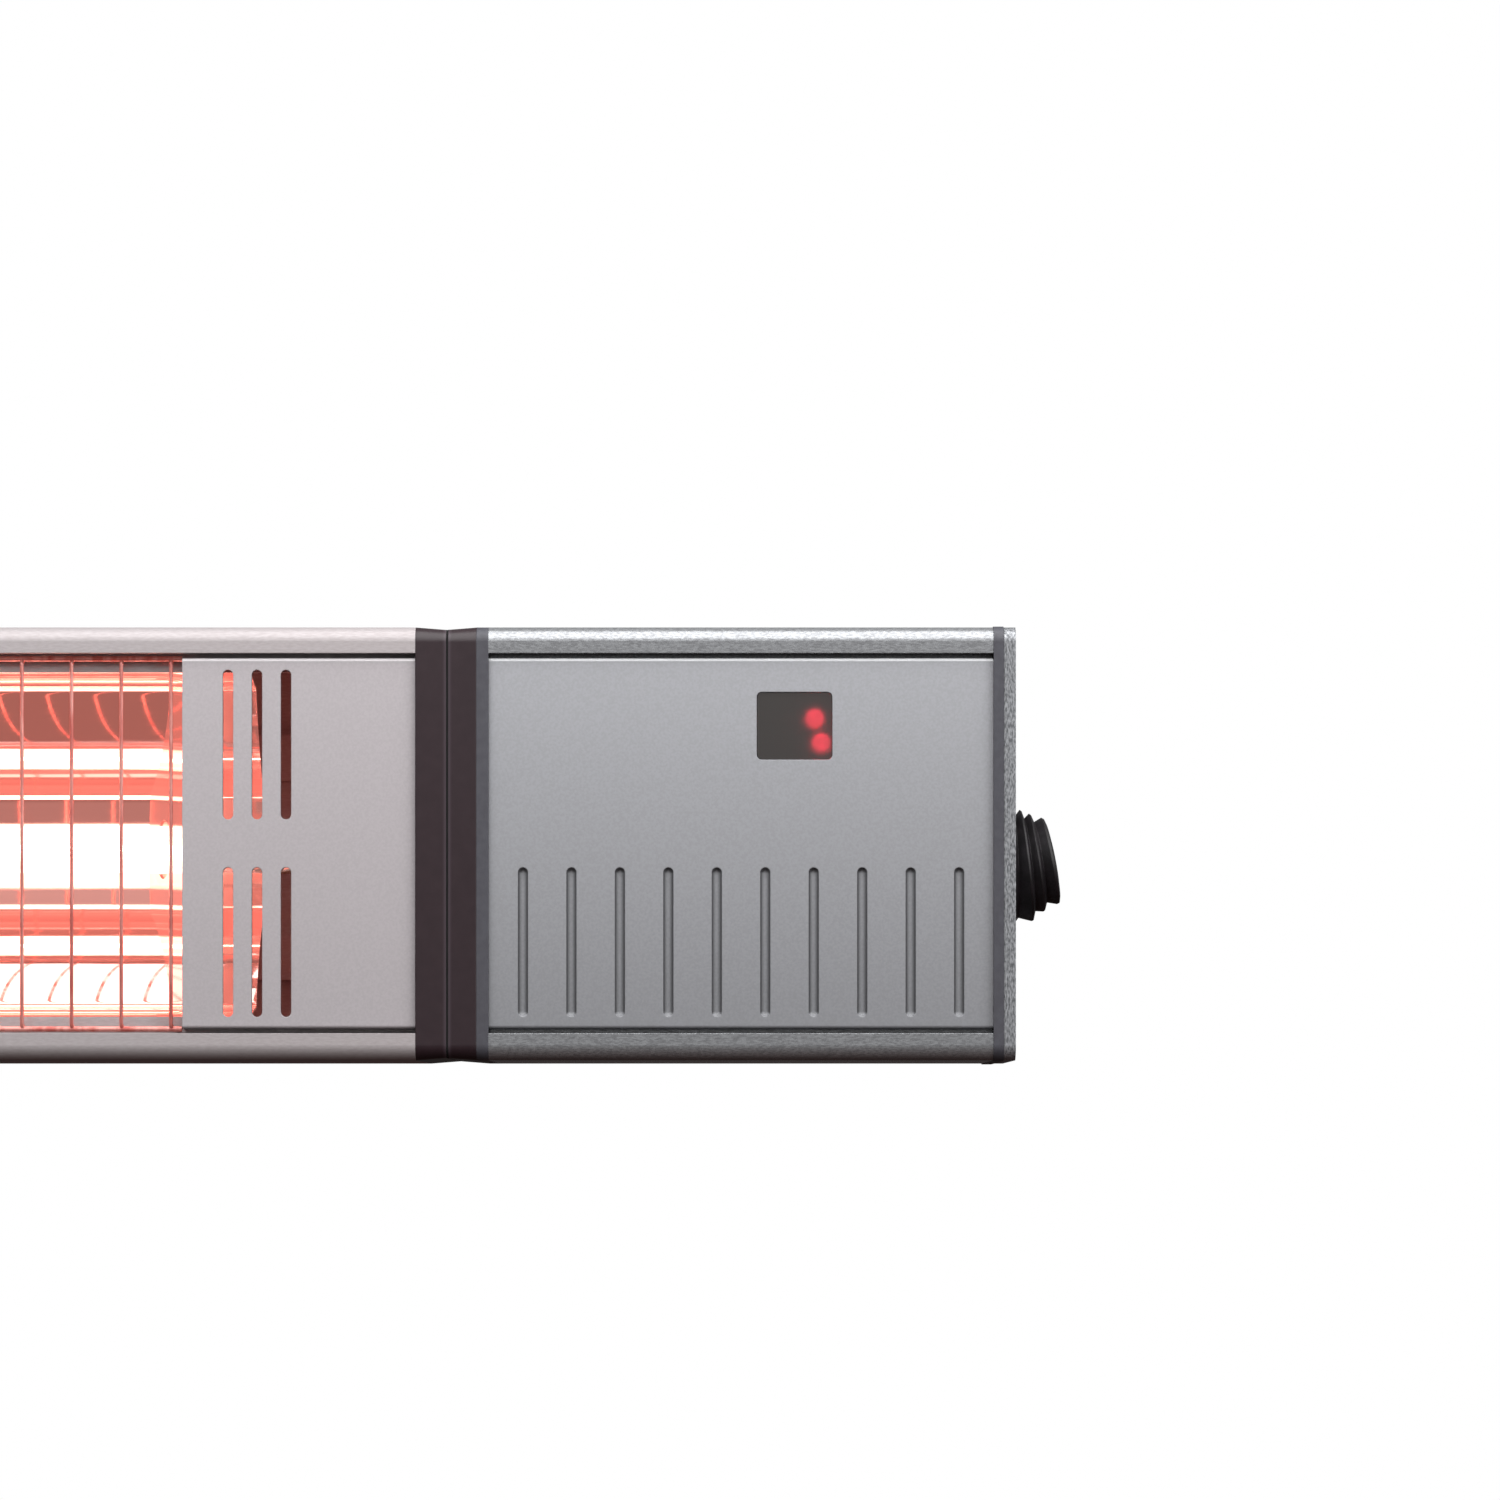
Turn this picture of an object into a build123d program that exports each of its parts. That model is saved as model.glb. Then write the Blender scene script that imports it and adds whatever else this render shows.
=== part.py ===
"""Wall-mounted infrared strip heater with one gold-coated quartz lamp and a power box.

The heater lies along X, its face looks along -Y, and Z is up. The origin is the centre of
the wall plate's back face. Every length is in millimetres.
"""
import os
from math import cos, radians, sin

from build123d import *

os.makedirs("parts", exist_ok=True)

# ---- Driving dimensions: the section of the heater ----
body_height = 145.0
body_depth = 95.0
body_gap_to_wall = 70.0
wall = 2.2
front_edge_radius = 5.0
rear_edge_radius = 8.0
lip_height = 9.0
ledge_depth = 8.0
ledge_thickness = 2.0
ledge_reach = 4.2
boss_radius = 3.6
boss_bore_radius = 1.7
front_boss_depth = 16.0
t_slot_height = 35.0
t_slot_mouth = 6.6
t_slot_width = 12.4
t_slot_depth = 4.4
t_slot_wall = 2.0

# ---- Driving dimensions: lengths along X ----
end_plate_thickness = 4.0
end_ring_width = 3.4
cover_length = 78.0
window_length = 407.0
lamp_collar_width = 10.6
box_collar_width = 9.8
joint_ring_width = 4.0
box_length = 168.8

# ---- Panels ----
panel_gap = 1.5
panel_recess = 1.5
panel_thickness = 2.0
louvre_margin = 4.0
louvre_middle_gap = 16.0
slot_width = 3.5
slot_pitch = 9.7
slot_count = 3
first_slot = 15.3
groove_width = 3.4
groove_depth = 1.4
groove_end_gap = 11.5
groove_count = 10
display_width = 25.3
display_height = 22.6
display_corner = 1.7
display_from_left = 102.3
display_from_top = 22.7
display_clearance = 0.15
lens_thickness = 2.4

# ---- Reflector and lamp ----
reflector_sheet = 0.8
reflector_overrun = 22.0
reflector_flange = 3.0
trough_rim_tuck = 1.6
trough_wall_depth = 29.7
trough_wall_draw = 3.5
trough_knee_depth = 57.8
trough_knee_height = 18.7
trough_back_depth = 60.2
lamp_depth = 39.0
lamp_radius = 8.0
lamp_wall = 1.2
lamp_overrun = 34.0
filament_radius = 1.6
seal_length = 14.0
seal_thickness = 3.0
seal_height = 11.0
lamp_cap_length = 24.0
lamp_cap_height = 13.0
lamp_cap_depth = 9.0
lamp_cap_gap = 2.0
lamp_cap_clearance = 0.15
lead_pin_radius = 0.5
lead_pin_clearance = 0.1
holder_length = 20.0
holder_cheek = 2.5
bracket_strap = 1.5
holder_back = 3.5
bracket_strap_half = 30.0
end_reflector_sheet = 1.0
end_reflector_lean = 18.5
end_reflector_gap = 0.3
end_reflector_hole_gap = 2.0

# ---- Guard ----
guard_wire_radius = 0.65
guard_rail_radius = 0.9
guard_wire_count = 25
guard_wire_end_gap = 4.0
guard_rail_end_gap = 0.4
guard_rail_depth = 5.0
guard_leg_count = 5
weld_sink = 0.1

# ---- Rings, collars and end plates ----
ring_proud = 0.3
ring_opening = 8.0
collar_taper = 4.5
collar_web = 3.0
cable_hole_radius = 14.0
screw_radius = 1.65
screw_head_radius = 3.4
screw_head_clearance = 0.15
screw_head_sink = 0.1
screw_socket_radius = 1.3
screw_socket_depth = 1.4
screw_hole_clearance = 0.25
gland_hole_clearance = 0.2
screw_length = 12.0

# ---- Cable gland ----
gland_height = -6.0
gland_depth = 47.0
gland_body_radius = 10.0
gland_bore_radius = 4.5
gland_nut_radius = 14.0
gland_nut_thickness = 5.0
gland_body_inside = 12.0
gland_body_outside = 3.0
boot_bore_radius = 5.4
boot_radii = [20.0, 19.3, 17.0, 15.2]
boot_rise = [0.0, 1.0, 2.0, 2.65]
boot_reach = [1.2, 6.0, 9.7, 14.4]
boot_tilt = [0.0, 6.6, 8.6, 10.9]
boot_ring_thickness = [2.4, 4.0, 3.9, 5.0]
boot_ring_taper = 0.82
boot_nose = 1.4

# ---- Inside the power box ----
board_thickness = 1.6
board_end_gap = 14.4
board_edge_gap = 14.3
board_standoff_length = 13.0
board_standoff_radius = 3.5
board_hole_inset = 6.0
board_hole_radius = 1.6
lead_radius = 1.6
lead_bend_radius = 5.0
lead_hole_spread = 5.0
lead_turn = 12.0
lead_lane_gap = 12.0
display_board_gap = 7.0
display_board_border = 7.0
display_frame_border = 4.0
display_frame_cover = 0.25
lens_recess = 0.3
led_radius = 3.1
led_length = 6.0
upper_led = (6.8, 3.0)
lower_led = (9.0, -5.2)
receiver_width = 6.0
receiver_height = 7.0
receiver_offset = -7.0
transformer_place = (-40.0, 28.0)
transformer_size = (42.0, 36.0, 30.0)
coil_size = (28.0, 45.0, 15.0)
relay_places = [(-2.0, 34.0), (15.0, 34.0)]
relay_size = (13.0, 28.0, 22.0)
sink_place = (45.0, 22.0)
sink_size = (34.0, 44.0, 36.0)
sink_base = 4.0
fin_thickness = 1.6
fin_count = 7
capacitor_place = (45.0, -20.0)
capacitor_radius = 9.0
capacitor_length = 30.0
terminal_place = (-28.0, -38.0)
terminal_size = (60.0, 14.0, 18.0)
terminal_count = 6
terminal_mouth_radius = 2.4
terminal_screw_radius = 2.0
fuse_place = (16.0, -38.0)
fuse_length = 24.0
fuse_radius = 3.0
fuse_clip = 4.0

# ---- Wall bracket ----
wall_plate_length = 260.0
wall_plate_height = 90.0
bracket_sheet = 4.0
wall_hole_inset_x = 20.0
wall_hole_inset_z = 17.0
wall_hole_radius = 3.5
pivot_gap_to_wall = 45.0
ear_radius = 14.0
ear_height = 50.0
ear_gap = 0.4
bolt_radius = 4.0
running_gap = 0.05
bolt_head_radius = 7.0
bolt_head_thickness = 4.0
knob_radius = 14.0
knob_length = 16.0
knob_flutes = 6
saddle_length = 40.0
saddle_sheet = 4.0
stud_radius = 3.0
stud_clearance = 0.2
nut_slide_gap = 0.3

# ---- Places worked out from the dimensions above ----
total_length = (
    2 * (end_plate_thickness + end_ring_width + cover_length)
    + window_length + lamp_collar_width + box_collar_width + joint_ring_width + box_length
)
left_end = -total_length / 2
housing_start = left_end + end_plate_thickness + end_ring_width
window_start = housing_start + cover_length
window_end = window_start + window_length
housing_end = window_end + cover_length
collar_joint = housing_end + lamp_collar_width
joint_ring_start = collar_joint + box_collar_width
box_start = joint_ring_start + joint_ring_width
box_end = box_start + box_length
right_plate_start = box_end + end_ring_width
right_end = right_plate_start + end_plate_thickness

front = -(body_gap_to_wall + body_depth)
rear = -body_gap_to_wall
middle = (front + rear) / 2
half_height = body_height / 2
opening_half = half_height - lip_height
panel_half = opening_half - panel_gap
ledge_half = panel_half - ledge_reach
inner_half = half_height - wall
slot_length = panel_half - louvre_margin - louvre_middle_gap / 2
slot_row_height = (louvre_middle_gap + slot_length) / 2
groove_pitch = (box_length - 2 * groove_end_gap) / (groove_count - 1)
trough_rim = ledge_half + trough_rim_tuck
trough_wall_height = trough_rim - trough_wall_draw
bracket_strap_depth = lamp_depth + lamp_cap_depth / 2 + holder_back
guard_rail_height = panel_half
board_length = box_length - 2 * board_end_gap
board_height = 2 * (inner_half - board_edge_gap)
wall_hole_spacing_x = wall_plate_length - 2 * wall_hole_inset_x
wall_hole_spacing_z = wall_plate_height - 2 * wall_hole_inset_z
pivot_y = -pivot_gap_to_wall
boss_places = [
    (front + front_boss_depth, inner_half - boss_bore_radius),
    (front + front_boss_depth, -inner_half + boss_bore_radius),
    (rear - wall - boss_bore_radius, inner_half - boss_bore_radius),
    (rear - wall - boss_bore_radius, -inner_half + boss_bore_radius),
]


def at_depth(depth):
    """World Y of a point this far behind the front edge of the body."""
    return front + depth


def section_plane(x):
    """Plane across the heater at x; its first axis is Y and its second is Z."""
    return Plane.YZ.offset(x)


def face_plane(y):
    """Plane facing the viewer at y; its first axis is X and its second is Z."""
    return Plane.XZ.offset(-y)


def save(piece, name):
    """Label one finished piece and write it as its own STEP file."""
    piece.label = name
    export_step(piece, f"parts/{name}.step")


# ---- Extruded bodies ----
def make_housing(start, length):
    """C-shaped aluminium extrusion: lips, panel ledges, screw bosses and two rear T slots."""
    with BuildPart() as housing:
        with BuildSketch(section_plane(start)) as section:
            with Locations((middle, 0)):
                Rectangle(body_depth, body_height)
            fillet(section.vertices().group_by(Axis.X)[0], front_edge_radius)
            fillet(section.vertices().group_by(Axis.X)[-1], rear_edge_radius)
            with Locations((middle, 0)):
                Rectangle(body_depth - 2 * wall, 2 * inner_half, mode=Mode.SUBTRACT)
            with Locations((front, 0)):
                Rectangle(4 * wall, 2 * opening_half, mode=Mode.SUBTRACT)
            ledge_height = half_height - wall / 2 - ledge_half
            ledge_centre = ledge_half + ledge_height / 2
            with Locations((at_depth(ledge_depth + ledge_thickness / 2), ledge_centre),
                           (at_depth(ledge_depth + ledge_thickness / 2), -ledge_centre)):
                Rectangle(ledge_thickness, ledge_height)
            slot_block_depth = t_slot_depth + t_slot_wall + wall
            slot_block_height = t_slot_width + 2 * t_slot_wall
            with Locations((rear - slot_block_depth / 2, t_slot_height),
                           (rear - slot_block_depth / 2, -t_slot_height)):
                Rectangle(slot_block_depth, slot_block_height)
            with Locations((rear - wall - t_slot_depth / 2, t_slot_height),
                           (rear - wall - t_slot_depth / 2, -t_slot_height)):
                Rectangle(t_slot_depth, t_slot_width, mode=Mode.SUBTRACT)
            with Locations((rear, t_slot_height), (rear, -t_slot_height)):
                Rectangle(3 * wall, t_slot_mouth, mode=Mode.SUBTRACT)
            with Locations(*boss_places):
                Circle(boss_radius)
            with Locations(*boss_places):
                Circle(boss_bore_radius, mode=Mode.SUBTRACT)
        extrude(amount=length)
    return housing.part


save(make_housing(housing_start, housing_end - housing_start), "lamp_housing")
save(make_housing(box_start, box_length), "control_housing")


# ---- Front panels ----
def panel_blank(start, length):
    """Shallow channel: a flat front with its top and bottom edges bent back onto the ledges."""
    with BuildPart() as blank:
        with BuildSketch(section_plane(start)) as section:
            depth = ledge_depth - panel_recess
            with Locations((at_depth(panel_recess + depth / 2), 0)):
                Rectangle(depth, 2 * panel_half)
            fillet(section.vertices().group_by(Axis.X)[0], panel_thickness * 0.6)
            with Locations((at_depth(panel_recess + panel_thickness + depth / 2), 0)):
                Rectangle(depth, 2 * (panel_half - panel_thickness), mode=Mode.SUBTRACT)
        extrude(amount=length)
    return blank.part


def make_cover(start, first, pitch):
    """Cover panel over one lamp end, with two rows of upright slots through it."""
    with BuildPart() as cover:
        add(panel_blank(start, cover_length))
        with BuildSketch(face_plane(at_depth(ledge_depth))):
            places = [
                (first + pitch * column, row * slot_row_height)
                for row in (1, -1)
                for column in range(slot_count)
            ]
            with Locations(*places):
                SlotOverall(slot_length, slot_width, rotation=90)
        extrude(amount=ledge_depth, mode=Mode.SUBTRACT)
    return cover.part


save(make_cover(window_end, window_end + first_slot, slot_pitch), "cover_panel_right")
save(make_cover(housing_start, window_start - first_slot, -slot_pitch), "cover_panel_left")

display_x = box_start + display_from_left
display_centre_height = panel_half - display_from_top
groove_radius = ((groove_width / 2) ** 2 + groove_depth ** 2) / (2 * groove_depth)
with BuildPart() as groove_tool:
    Cylinder(groove_radius, slot_length - 2 * groove_radius)
    with Locations((0, 0, slot_length / 2 - groove_radius), (0, 0, groove_radius - slot_length / 2)):
        Sphere(groove_radius)

with BuildPart() as control_panel:
    add(panel_blank(box_start, box_length))
    with BuildSketch(face_plane(at_depth(ledge_depth))):
        with Locations((display_x, display_centre_height)):
            RectangleRounded(display_width, display_height, display_corner)
    extrude(amount=ledge_depth, mode=Mode.SUBTRACT)
    groove_start = box_start + groove_end_gap
    groove_y = at_depth(panel_recess) - (groove_radius - groove_depth)
    with Locations(*[(groove_start + groove_pitch * number, groove_y, -slot_row_height)
                     for number in range(groove_count)]):
        add(groove_tool.part, mode=Mode.SUBTRACT)
save(control_panel.part, "control_panel")

# ---- Display ----
with BuildPart() as display_lens:
    with BuildSketch(face_plane(at_depth(panel_recess + lens_recess + lens_thickness))):
        with Locations((display_x, display_centre_height)):
            RectangleRounded(display_width - 2 * display_clearance,
                             display_height - 2 * display_clearance,
                             display_corner - display_clearance)
    extrude(amount=lens_thickness)
save(display_lens.part, "display_lens")

display_board_front = at_depth(panel_recess + panel_thickness + display_board_gap)
with BuildPart() as display_board:
    with BuildSketch(face_plane(display_board_front + board_thickness)):
        with Locations((display_x, display_centre_height)):
            Rectangle(display_width + 2 * display_board_border,
                      display_height + 2 * display_board_border)
    extrude(amount=board_thickness)
save(display_board.part, "display_board")

led_places = [(display_x + along, display_centre_height + up) for along, up in (upper_led, lower_led)]
with BuildPart() as display_leds:
    with BuildSketch(face_plane(display_board_front)):
        with Locations(*led_places):
            Circle(led_radius)
    extrude(amount=led_length - led_radius)
    with Locations(*[(x, display_board_front - led_length + led_radius, z) for x, z in led_places]):
        Sphere(led_radius)
    split(bisect_by=face_plane(display_board_front), keep=Keep.TOP)
save(display_leds.part, "display_leds")

with BuildPart() as infrared_receiver:
    with BuildSketch(face_plane(display_board_front)):
        with Locations((display_x + receiver_offset, display_centre_height)):
            RectangleRounded(receiver_width, receiver_height, 1)
    extrude(amount=led_length - board_thickness)
save(infrared_receiver.part, "infrared_receiver")

# ---- Rings between the sections ----
def cut_screw_holes(radius):
    """Circles at the four screw bosses, for use inside a sketch on a section plane."""
    with Locations(*boss_places):
        Circle(radius, mode=Mode.SUBTRACT)


def make_frame(x, width, grow, hole_radius):
    """Flat frame with the body's outline, an open middle and four screw holes."""
    with BuildPart() as frame:
        with BuildSketch(section_plane(x)) as section:
            with Locations((middle, 0)):
                Rectangle(body_depth + 2 * grow, body_height + 2 * grow)
            fillet(section.vertices().group_by(Axis.X)[0], front_edge_radius + grow)
            fillet(section.vertices().group_by(Axis.X)[-1], rear_edge_radius + grow)
            with Locations(((front + front_boss_depth + rear) / 2, 0)):
                Rectangle(body_depth - front_boss_depth - 2 * ring_opening,
                          body_height - 4 * ring_opening, mode=Mode.SUBTRACT)
            cut_screw_holes(hole_radius)
        extrude(amount=width)
    return frame.part


screw_hole_radius = screw_radius + screw_hole_clearance
save(make_frame(housing_start - end_ring_width, end_ring_width, ring_proud, screw_hole_radius),
     "end_ring_left")
save(make_frame(box_end, end_ring_width, ring_proud, screw_hole_radius), "end_ring_right")
save(make_frame(joint_ring_start, joint_ring_width, 0, screw_hole_radius), "joint_ring")


# ---- Collars at the joint ----
def make_collar(outer_x, width, direction):
    """Moulded collar that narrows towards the joint, hollow on its outer side.

    direction is +1 where the joint lies towards +X of the outer face and -1 where it lies
    towards -X.
    """
    plane = Plane(origin=(outer_x, 0, 0), x_dir=(0, 1, 0), z_dir=(1, 0, 0))
    with BuildPart() as collar:
        with BuildSketch(plane) as section:
            with Locations((middle, 0)):
                Rectangle(body_depth, body_height)
            fillet(section.vertices().group_by(Axis.X)[0], front_edge_radius)
            fillet(section.vertices().group_by(Axis.X)[-1], rear_edge_radius)
        extrude(amount=direction * width, taper=collar_taper)
        with BuildSketch(plane):
            with Locations(((front + front_boss_depth + rear) / 2, 0)):
                Rectangle(body_depth - front_boss_depth - 2 * ring_opening,
                          body_height - 4 * ring_opening)
        extrude(amount=direction * (width - collar_web), mode=Mode.SUBTRACT)
        with BuildSketch(plane):
            with Locations((middle, 0)):
                Circle(cable_hole_radius)
            with Locations(*boss_places):
                Circle(screw_hole_radius)
        extrude(amount=direction * width, mode=Mode.SUBTRACT)
    return collar.part


save(make_collar(housing_end, lamp_collar_width, 1), "collar_lamp_side")
save(make_collar(joint_ring_start, box_collar_width, -1), "collar_box_side")


# ---- End plates ----
def boss_seats(outer_x, outward):
    """Places of the four end screws on an outer face, with local Z pointing outwards."""
    return [Location((outer_x, y, z), (0, 90 * outward, 0)) for y, z in boss_places]


def make_end_plate(x, outward, with_gland_hole):
    """Cast plate over one end, with four countersunk screw holes."""
    outer_x = x + end_plate_thickness if outward > 0 else x
    with BuildPart() as plate:
        with BuildSketch(section_plane(x)) as section:
            with Locations((middle, 0)):
                Rectangle(body_depth, body_height)
            fillet(section.vertices().group_by(Axis.X)[0], front_edge_radius)
            fillet(section.vertices().group_by(Axis.X)[-1], rear_edge_radius)
            if with_gland_hole:
                with Locations((at_depth(gland_depth), gland_height)):
                    Circle(gland_body_radius + gland_hole_clearance, mode=Mode.SUBTRACT)
            cut_screw_holes(screw_hole_radius)
        extrude(amount=end_plate_thickness)
        sink_radius = screw_head_radius + screw_head_clearance
        with Locations(*boss_seats(outer_x, outward)):
            Cone(screw_hole_radius, sink_radius, sink_radius - screw_hole_radius,
                 align=(Align.CENTER, Align.CENTER, Align.MAX), mode=Mode.SUBTRACT)
    return plate.part


save(make_end_plate(right_plate_start, 1, True), "end_plate_right")
save(make_end_plate(left_end, -1, False), "end_plate_left")


# ---- Screws ----
def countersunk_screws(outer_x, outward, length):
    """Four countersunk screws with hex sockets, their heads just below outer_x."""
    head_x = outer_x - outward * screw_head_sink
    cone_height = screw_head_radius - screw_radius
    with BuildPart() as screws:
        with Locations(*boss_seats(head_x, outward)):
            Cone(screw_radius, screw_head_radius, cone_height,
                 align=(Align.CENTER, Align.CENTER, Align.MAX))
            Cylinder(screw_radius, length, align=(Align.CENTER, Align.CENTER, Align.MAX))
        with Locations(*boss_seats(head_x, outward)):
            Cylinder(screw_socket_radius, screw_socket_depth,
                     align=(Align.CENTER, Align.CENTER, Align.MAX), mode=Mode.SUBTRACT)
    return screws.part


end_screw_length = end_plate_thickness + end_ring_width + screw_length
save(countersunk_screws(right_end, 1, end_screw_length), "end_screws_right")
save(countersunk_screws(left_end, -1, end_screw_length), "end_screws_left")

# Studs pass through both collars and the ring into the bosses on both sides.
with BuildPart() as joint_studs:
    with BuildSketch(section_plane(housing_end - screw_length)):
        with Locations(*boss_places):
            Circle(screw_radius)
    extrude(amount=box_start - housing_end + 2 * screw_length)
save(joint_studs.part, "joint_studs")


# ---- Reflector ----
def make_trough_block(start, length, grow):
    """Solid that fills the trough from its rim to its back, grown outwards by a distance."""
    rim_y = at_depth(ledge_depth + ledge_thickness)
    half = [
        (rim_y, trough_rim),
        (at_depth(trough_wall_depth), trough_wall_height),
        (at_depth(trough_knee_depth), trough_knee_height),
    ]
    lower_half = [(y, -z) for y, z in reversed(half)]
    with BuildPart() as block:
        with BuildSketch(section_plane(start)):
            with BuildLine():
                Polyline(*half, (at_depth(trough_back_depth), 0), *lower_half, close=True)
            make_face()
            if grow != 0:
                offset(amount=grow, kind=Kind.INTERSECTION)
        extrude(amount=length)
    return block.part


reflector_start = window_start - reflector_overrun
reflector_length = window_length + 2 * reflector_overrun
flange_half = opening_half + reflector_flange
flange_y = at_depth(ledge_depth + ledge_thickness)
with BuildPart() as reflector:
    add(make_trough_block(reflector_start, reflector_length, reflector_sheet))
    with BuildSketch(section_plane(reflector_start)):
        with Locations((flange_y + reflector_sheet / 2, 0)):
            Rectangle(reflector_sheet, 2 * flange_half)
    extrude(amount=reflector_length)
    split(bisect_by=face_plane(flange_y), keep=Keep.BOTTOM)
    add(make_trough_block(reflector_start, reflector_length, 0), mode=Mode.SUBTRACT)
save(reflector.part, "reflector")

# ---- Lamp ----
lamp_y = at_depth(lamp_depth)
tube_start = window_start - lamp_overrun
tube_end = window_end + lamp_overrun
lamp_ends = {"left": (tube_start, -1), "right": (tube_end, 1)}


def lamp_rod(start, length, radius, mode=Mode.ADD):
    """Round bar on the lamp's axis, made inside the part that is open."""
    with BuildSketch(section_plane(start)) as disc:
        with Locations((lamp_y, 0)):
            Circle(radius)
    extrude(disc.sketch, amount=length, mode=mode)


with BuildPart() as quartz_tube:
    lamp_rod(tube_start, tube_end - tube_start, lamp_radius)
    fillet(quartz_tube.edges().filter_by(GeomType.CIRCLE), lamp_radius * 0.45)
    end_wall = 2 * lamp_wall
    lamp_rod(tube_start + end_wall, tube_end - tube_start - 2 * end_wall,
             lamp_radius - lamp_wall, Mode.SUBTRACT)
    for end_x, outward in lamp_ends.values():
        with Locations((end_x + outward * (seal_length / 2 - end_wall / 2), lamp_y, 0)):
            Box(seal_length + end_wall, seal_thickness, seal_height)
    lamp_rod(tube_start - seal_length, tube_end - tube_start + 2 * seal_length,
             lead_pin_radius + lead_pin_clearance, Mode.SUBTRACT)
save(quartz_tube.part, "quartz_tube")

pin_reach = seal_length + lamp_cap_gap
with BuildPart() as filament:
    lamp_rod(window_start, window_length, filament_radius)
    lamp_rod(tube_start - pin_reach, tube_end - tube_start + 2 * pin_reach, lead_pin_radius)
save(filament.part, "filament")

for side, (end_x, outward) in lamp_ends.items():
    cap_x = end_x + outward * (lamp_cap_gap + lamp_cap_length / 2)
    seal_x = end_x + outward * seal_length / 2
    with BuildPart() as lamp_cap:
        with Locations((cap_x, lamp_y, 0)):
            Box(lamp_cap_length, lamp_cap_depth, lamp_cap_height)
        fillet(lamp_cap.edges().filter_by(Axis.X), 1.5)
        with Locations((seal_x, lamp_y, 0)):
            Box(seal_length + 2 * lamp_cap_clearance, seal_thickness + 2 * lamp_cap_clearance,
                seal_height + 2 * lamp_cap_clearance, mode=Mode.SUBTRACT)
        pin_room = seal_x + outward * seal_length / 2
        with BuildSketch(section_plane(pin_room)):
            with Locations((lamp_y, 0)):
                Circle(lead_pin_radius + lead_pin_clearance)
        extrude(amount=outward * (lamp_cap_gap + lamp_cap_clearance), mode=Mode.SUBTRACT)
    save(lamp_cap.part, f"lamp_cap_{side}")

    strap_y = at_depth(bracket_strap_depth)
    holder_front = lamp_y + lamp_cap_depth / 2
    cheek_height = lamp_cap_height / 2 + lamp_cap_clearance
    with BuildPart() as lamp_holder:
        with BuildSketch(section_plane(cap_x - holder_length / 2)):
            with Locations(((holder_front + strap_y) / 2, 0)):
                Rectangle(strap_y - holder_front, 2 * (cheek_height + holder_cheek))
            for up in (1, -1):
                with Locations(((lamp_y + strap_y) / 2, up * (cheek_height + holder_cheek / 2))):
                    Rectangle(strap_y - lamp_y, holder_cheek)
        extrude(amount=holder_length)
    save(lamp_holder.part, f"lamp_holder_{side}")

    strap_line = [
        (flange_y + bracket_strap / 2, flange_half),
        (flange_y + bracket_strap / 2, trough_rim),
        (strap_y + bracket_strap / 2, bracket_strap_half),
        (strap_y + bracket_strap / 2, -bracket_strap_half),
        (flange_y + bracket_strap / 2, -trough_rim),
        (flange_y + bracket_strap / 2, -flange_half),
    ]
    with BuildPart() as lamp_bracket:
        with BuildSketch(section_plane(cap_x - holder_length / 2)):
            with BuildLine():
                strap = Polyline(*strap_line)
            trace(strap, bracket_strap)
        extrude(amount=holder_length)
    save(lamp_bracket.part, f"lamp_bracket_{side}")

# ---- End reflectors: leaning plates that close the trough at the window's ends ----
trough_room = make_trough_block(reflector_start, reflector_length, -end_reflector_gap)
for side, window_edge, inward in (("left", window_start, 1), ("right", window_end, -1)):
    near = at_depth(ledge_depth + ledge_thickness)
    far = at_depth(trough_back_depth)
    with BuildPart() as end_reflector:
        with BuildSketch(Plane.XY.offset(-trough_rim)):
            with BuildLine():
                Polyline((window_edge, near),
                         (window_edge + inward * end_reflector_lean, far),
                         (window_edge + inward * (end_reflector_lean - end_reflector_sheet), far),
                         (window_edge - inward * end_reflector_sheet, near),
                         close=True)
            make_face()
        extrude(amount=2 * trough_rim)
        add(trough_room, mode=Mode.INTERSECT)
        lamp_rod(window_edge - 2 * end_reflector_lean, 4 * end_reflector_lean,
                 lamp_radius + end_reflector_hole_gap, Mode.SUBTRACT)
    save(end_reflector.part, f"end_reflector_{side}")

# ---- Wire guard ----
rail_start = window_start + guard_rail_end_gap
rail_length = window_length - 2 * guard_rail_end_gap
leg_pitch = (rail_length - 4 * guard_rail_radius) / (guard_leg_count - 1)
with BuildPart() as guard_rails:
    for up in (1, -1):
        with BuildSketch(section_plane(rail_start)):
            with Locations((at_depth(guard_rail_depth), up * guard_rail_height)):
                Circle(guard_rail_radius)
        extrude(amount=rail_length)
    with BuildSketch(face_plane(at_depth(ledge_depth))):
        with Locations(*[(rail_start + 2 * guard_rail_radius + leg_pitch * number,
                          up * guard_rail_height)
                         for up in (1, -1) for number in range(guard_leg_count)]):
            Circle(guard_rail_radius * 0.9)
    extrude(amount=ledge_depth - guard_rail_depth)
save(guard_rails.part, "guard_rails")

wire_pitch = (window_length - 2 * guard_wire_end_gap) / (guard_wire_count - 1)
wire_y = at_depth(guard_rail_depth) - guard_rail_radius - guard_wire_radius + weld_sink
with BuildPart() as guard_wires:
    with BuildSketch(Plane.XY.offset(-guard_rail_height)):
        with Locations(*[(window_start + guard_wire_end_gap + wire_pitch * number, wire_y)
                         for number in range(guard_wire_count)]):
            Circle(guard_wire_radius)
    extrude(amount=2 * guard_rail_height)
save(guard_wires.part, "guard_wires")

# ---- Cable gland on the right end plate ----
gland_y = at_depth(gland_depth)
gland_start = right_plate_start - gland_body_inside


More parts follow.
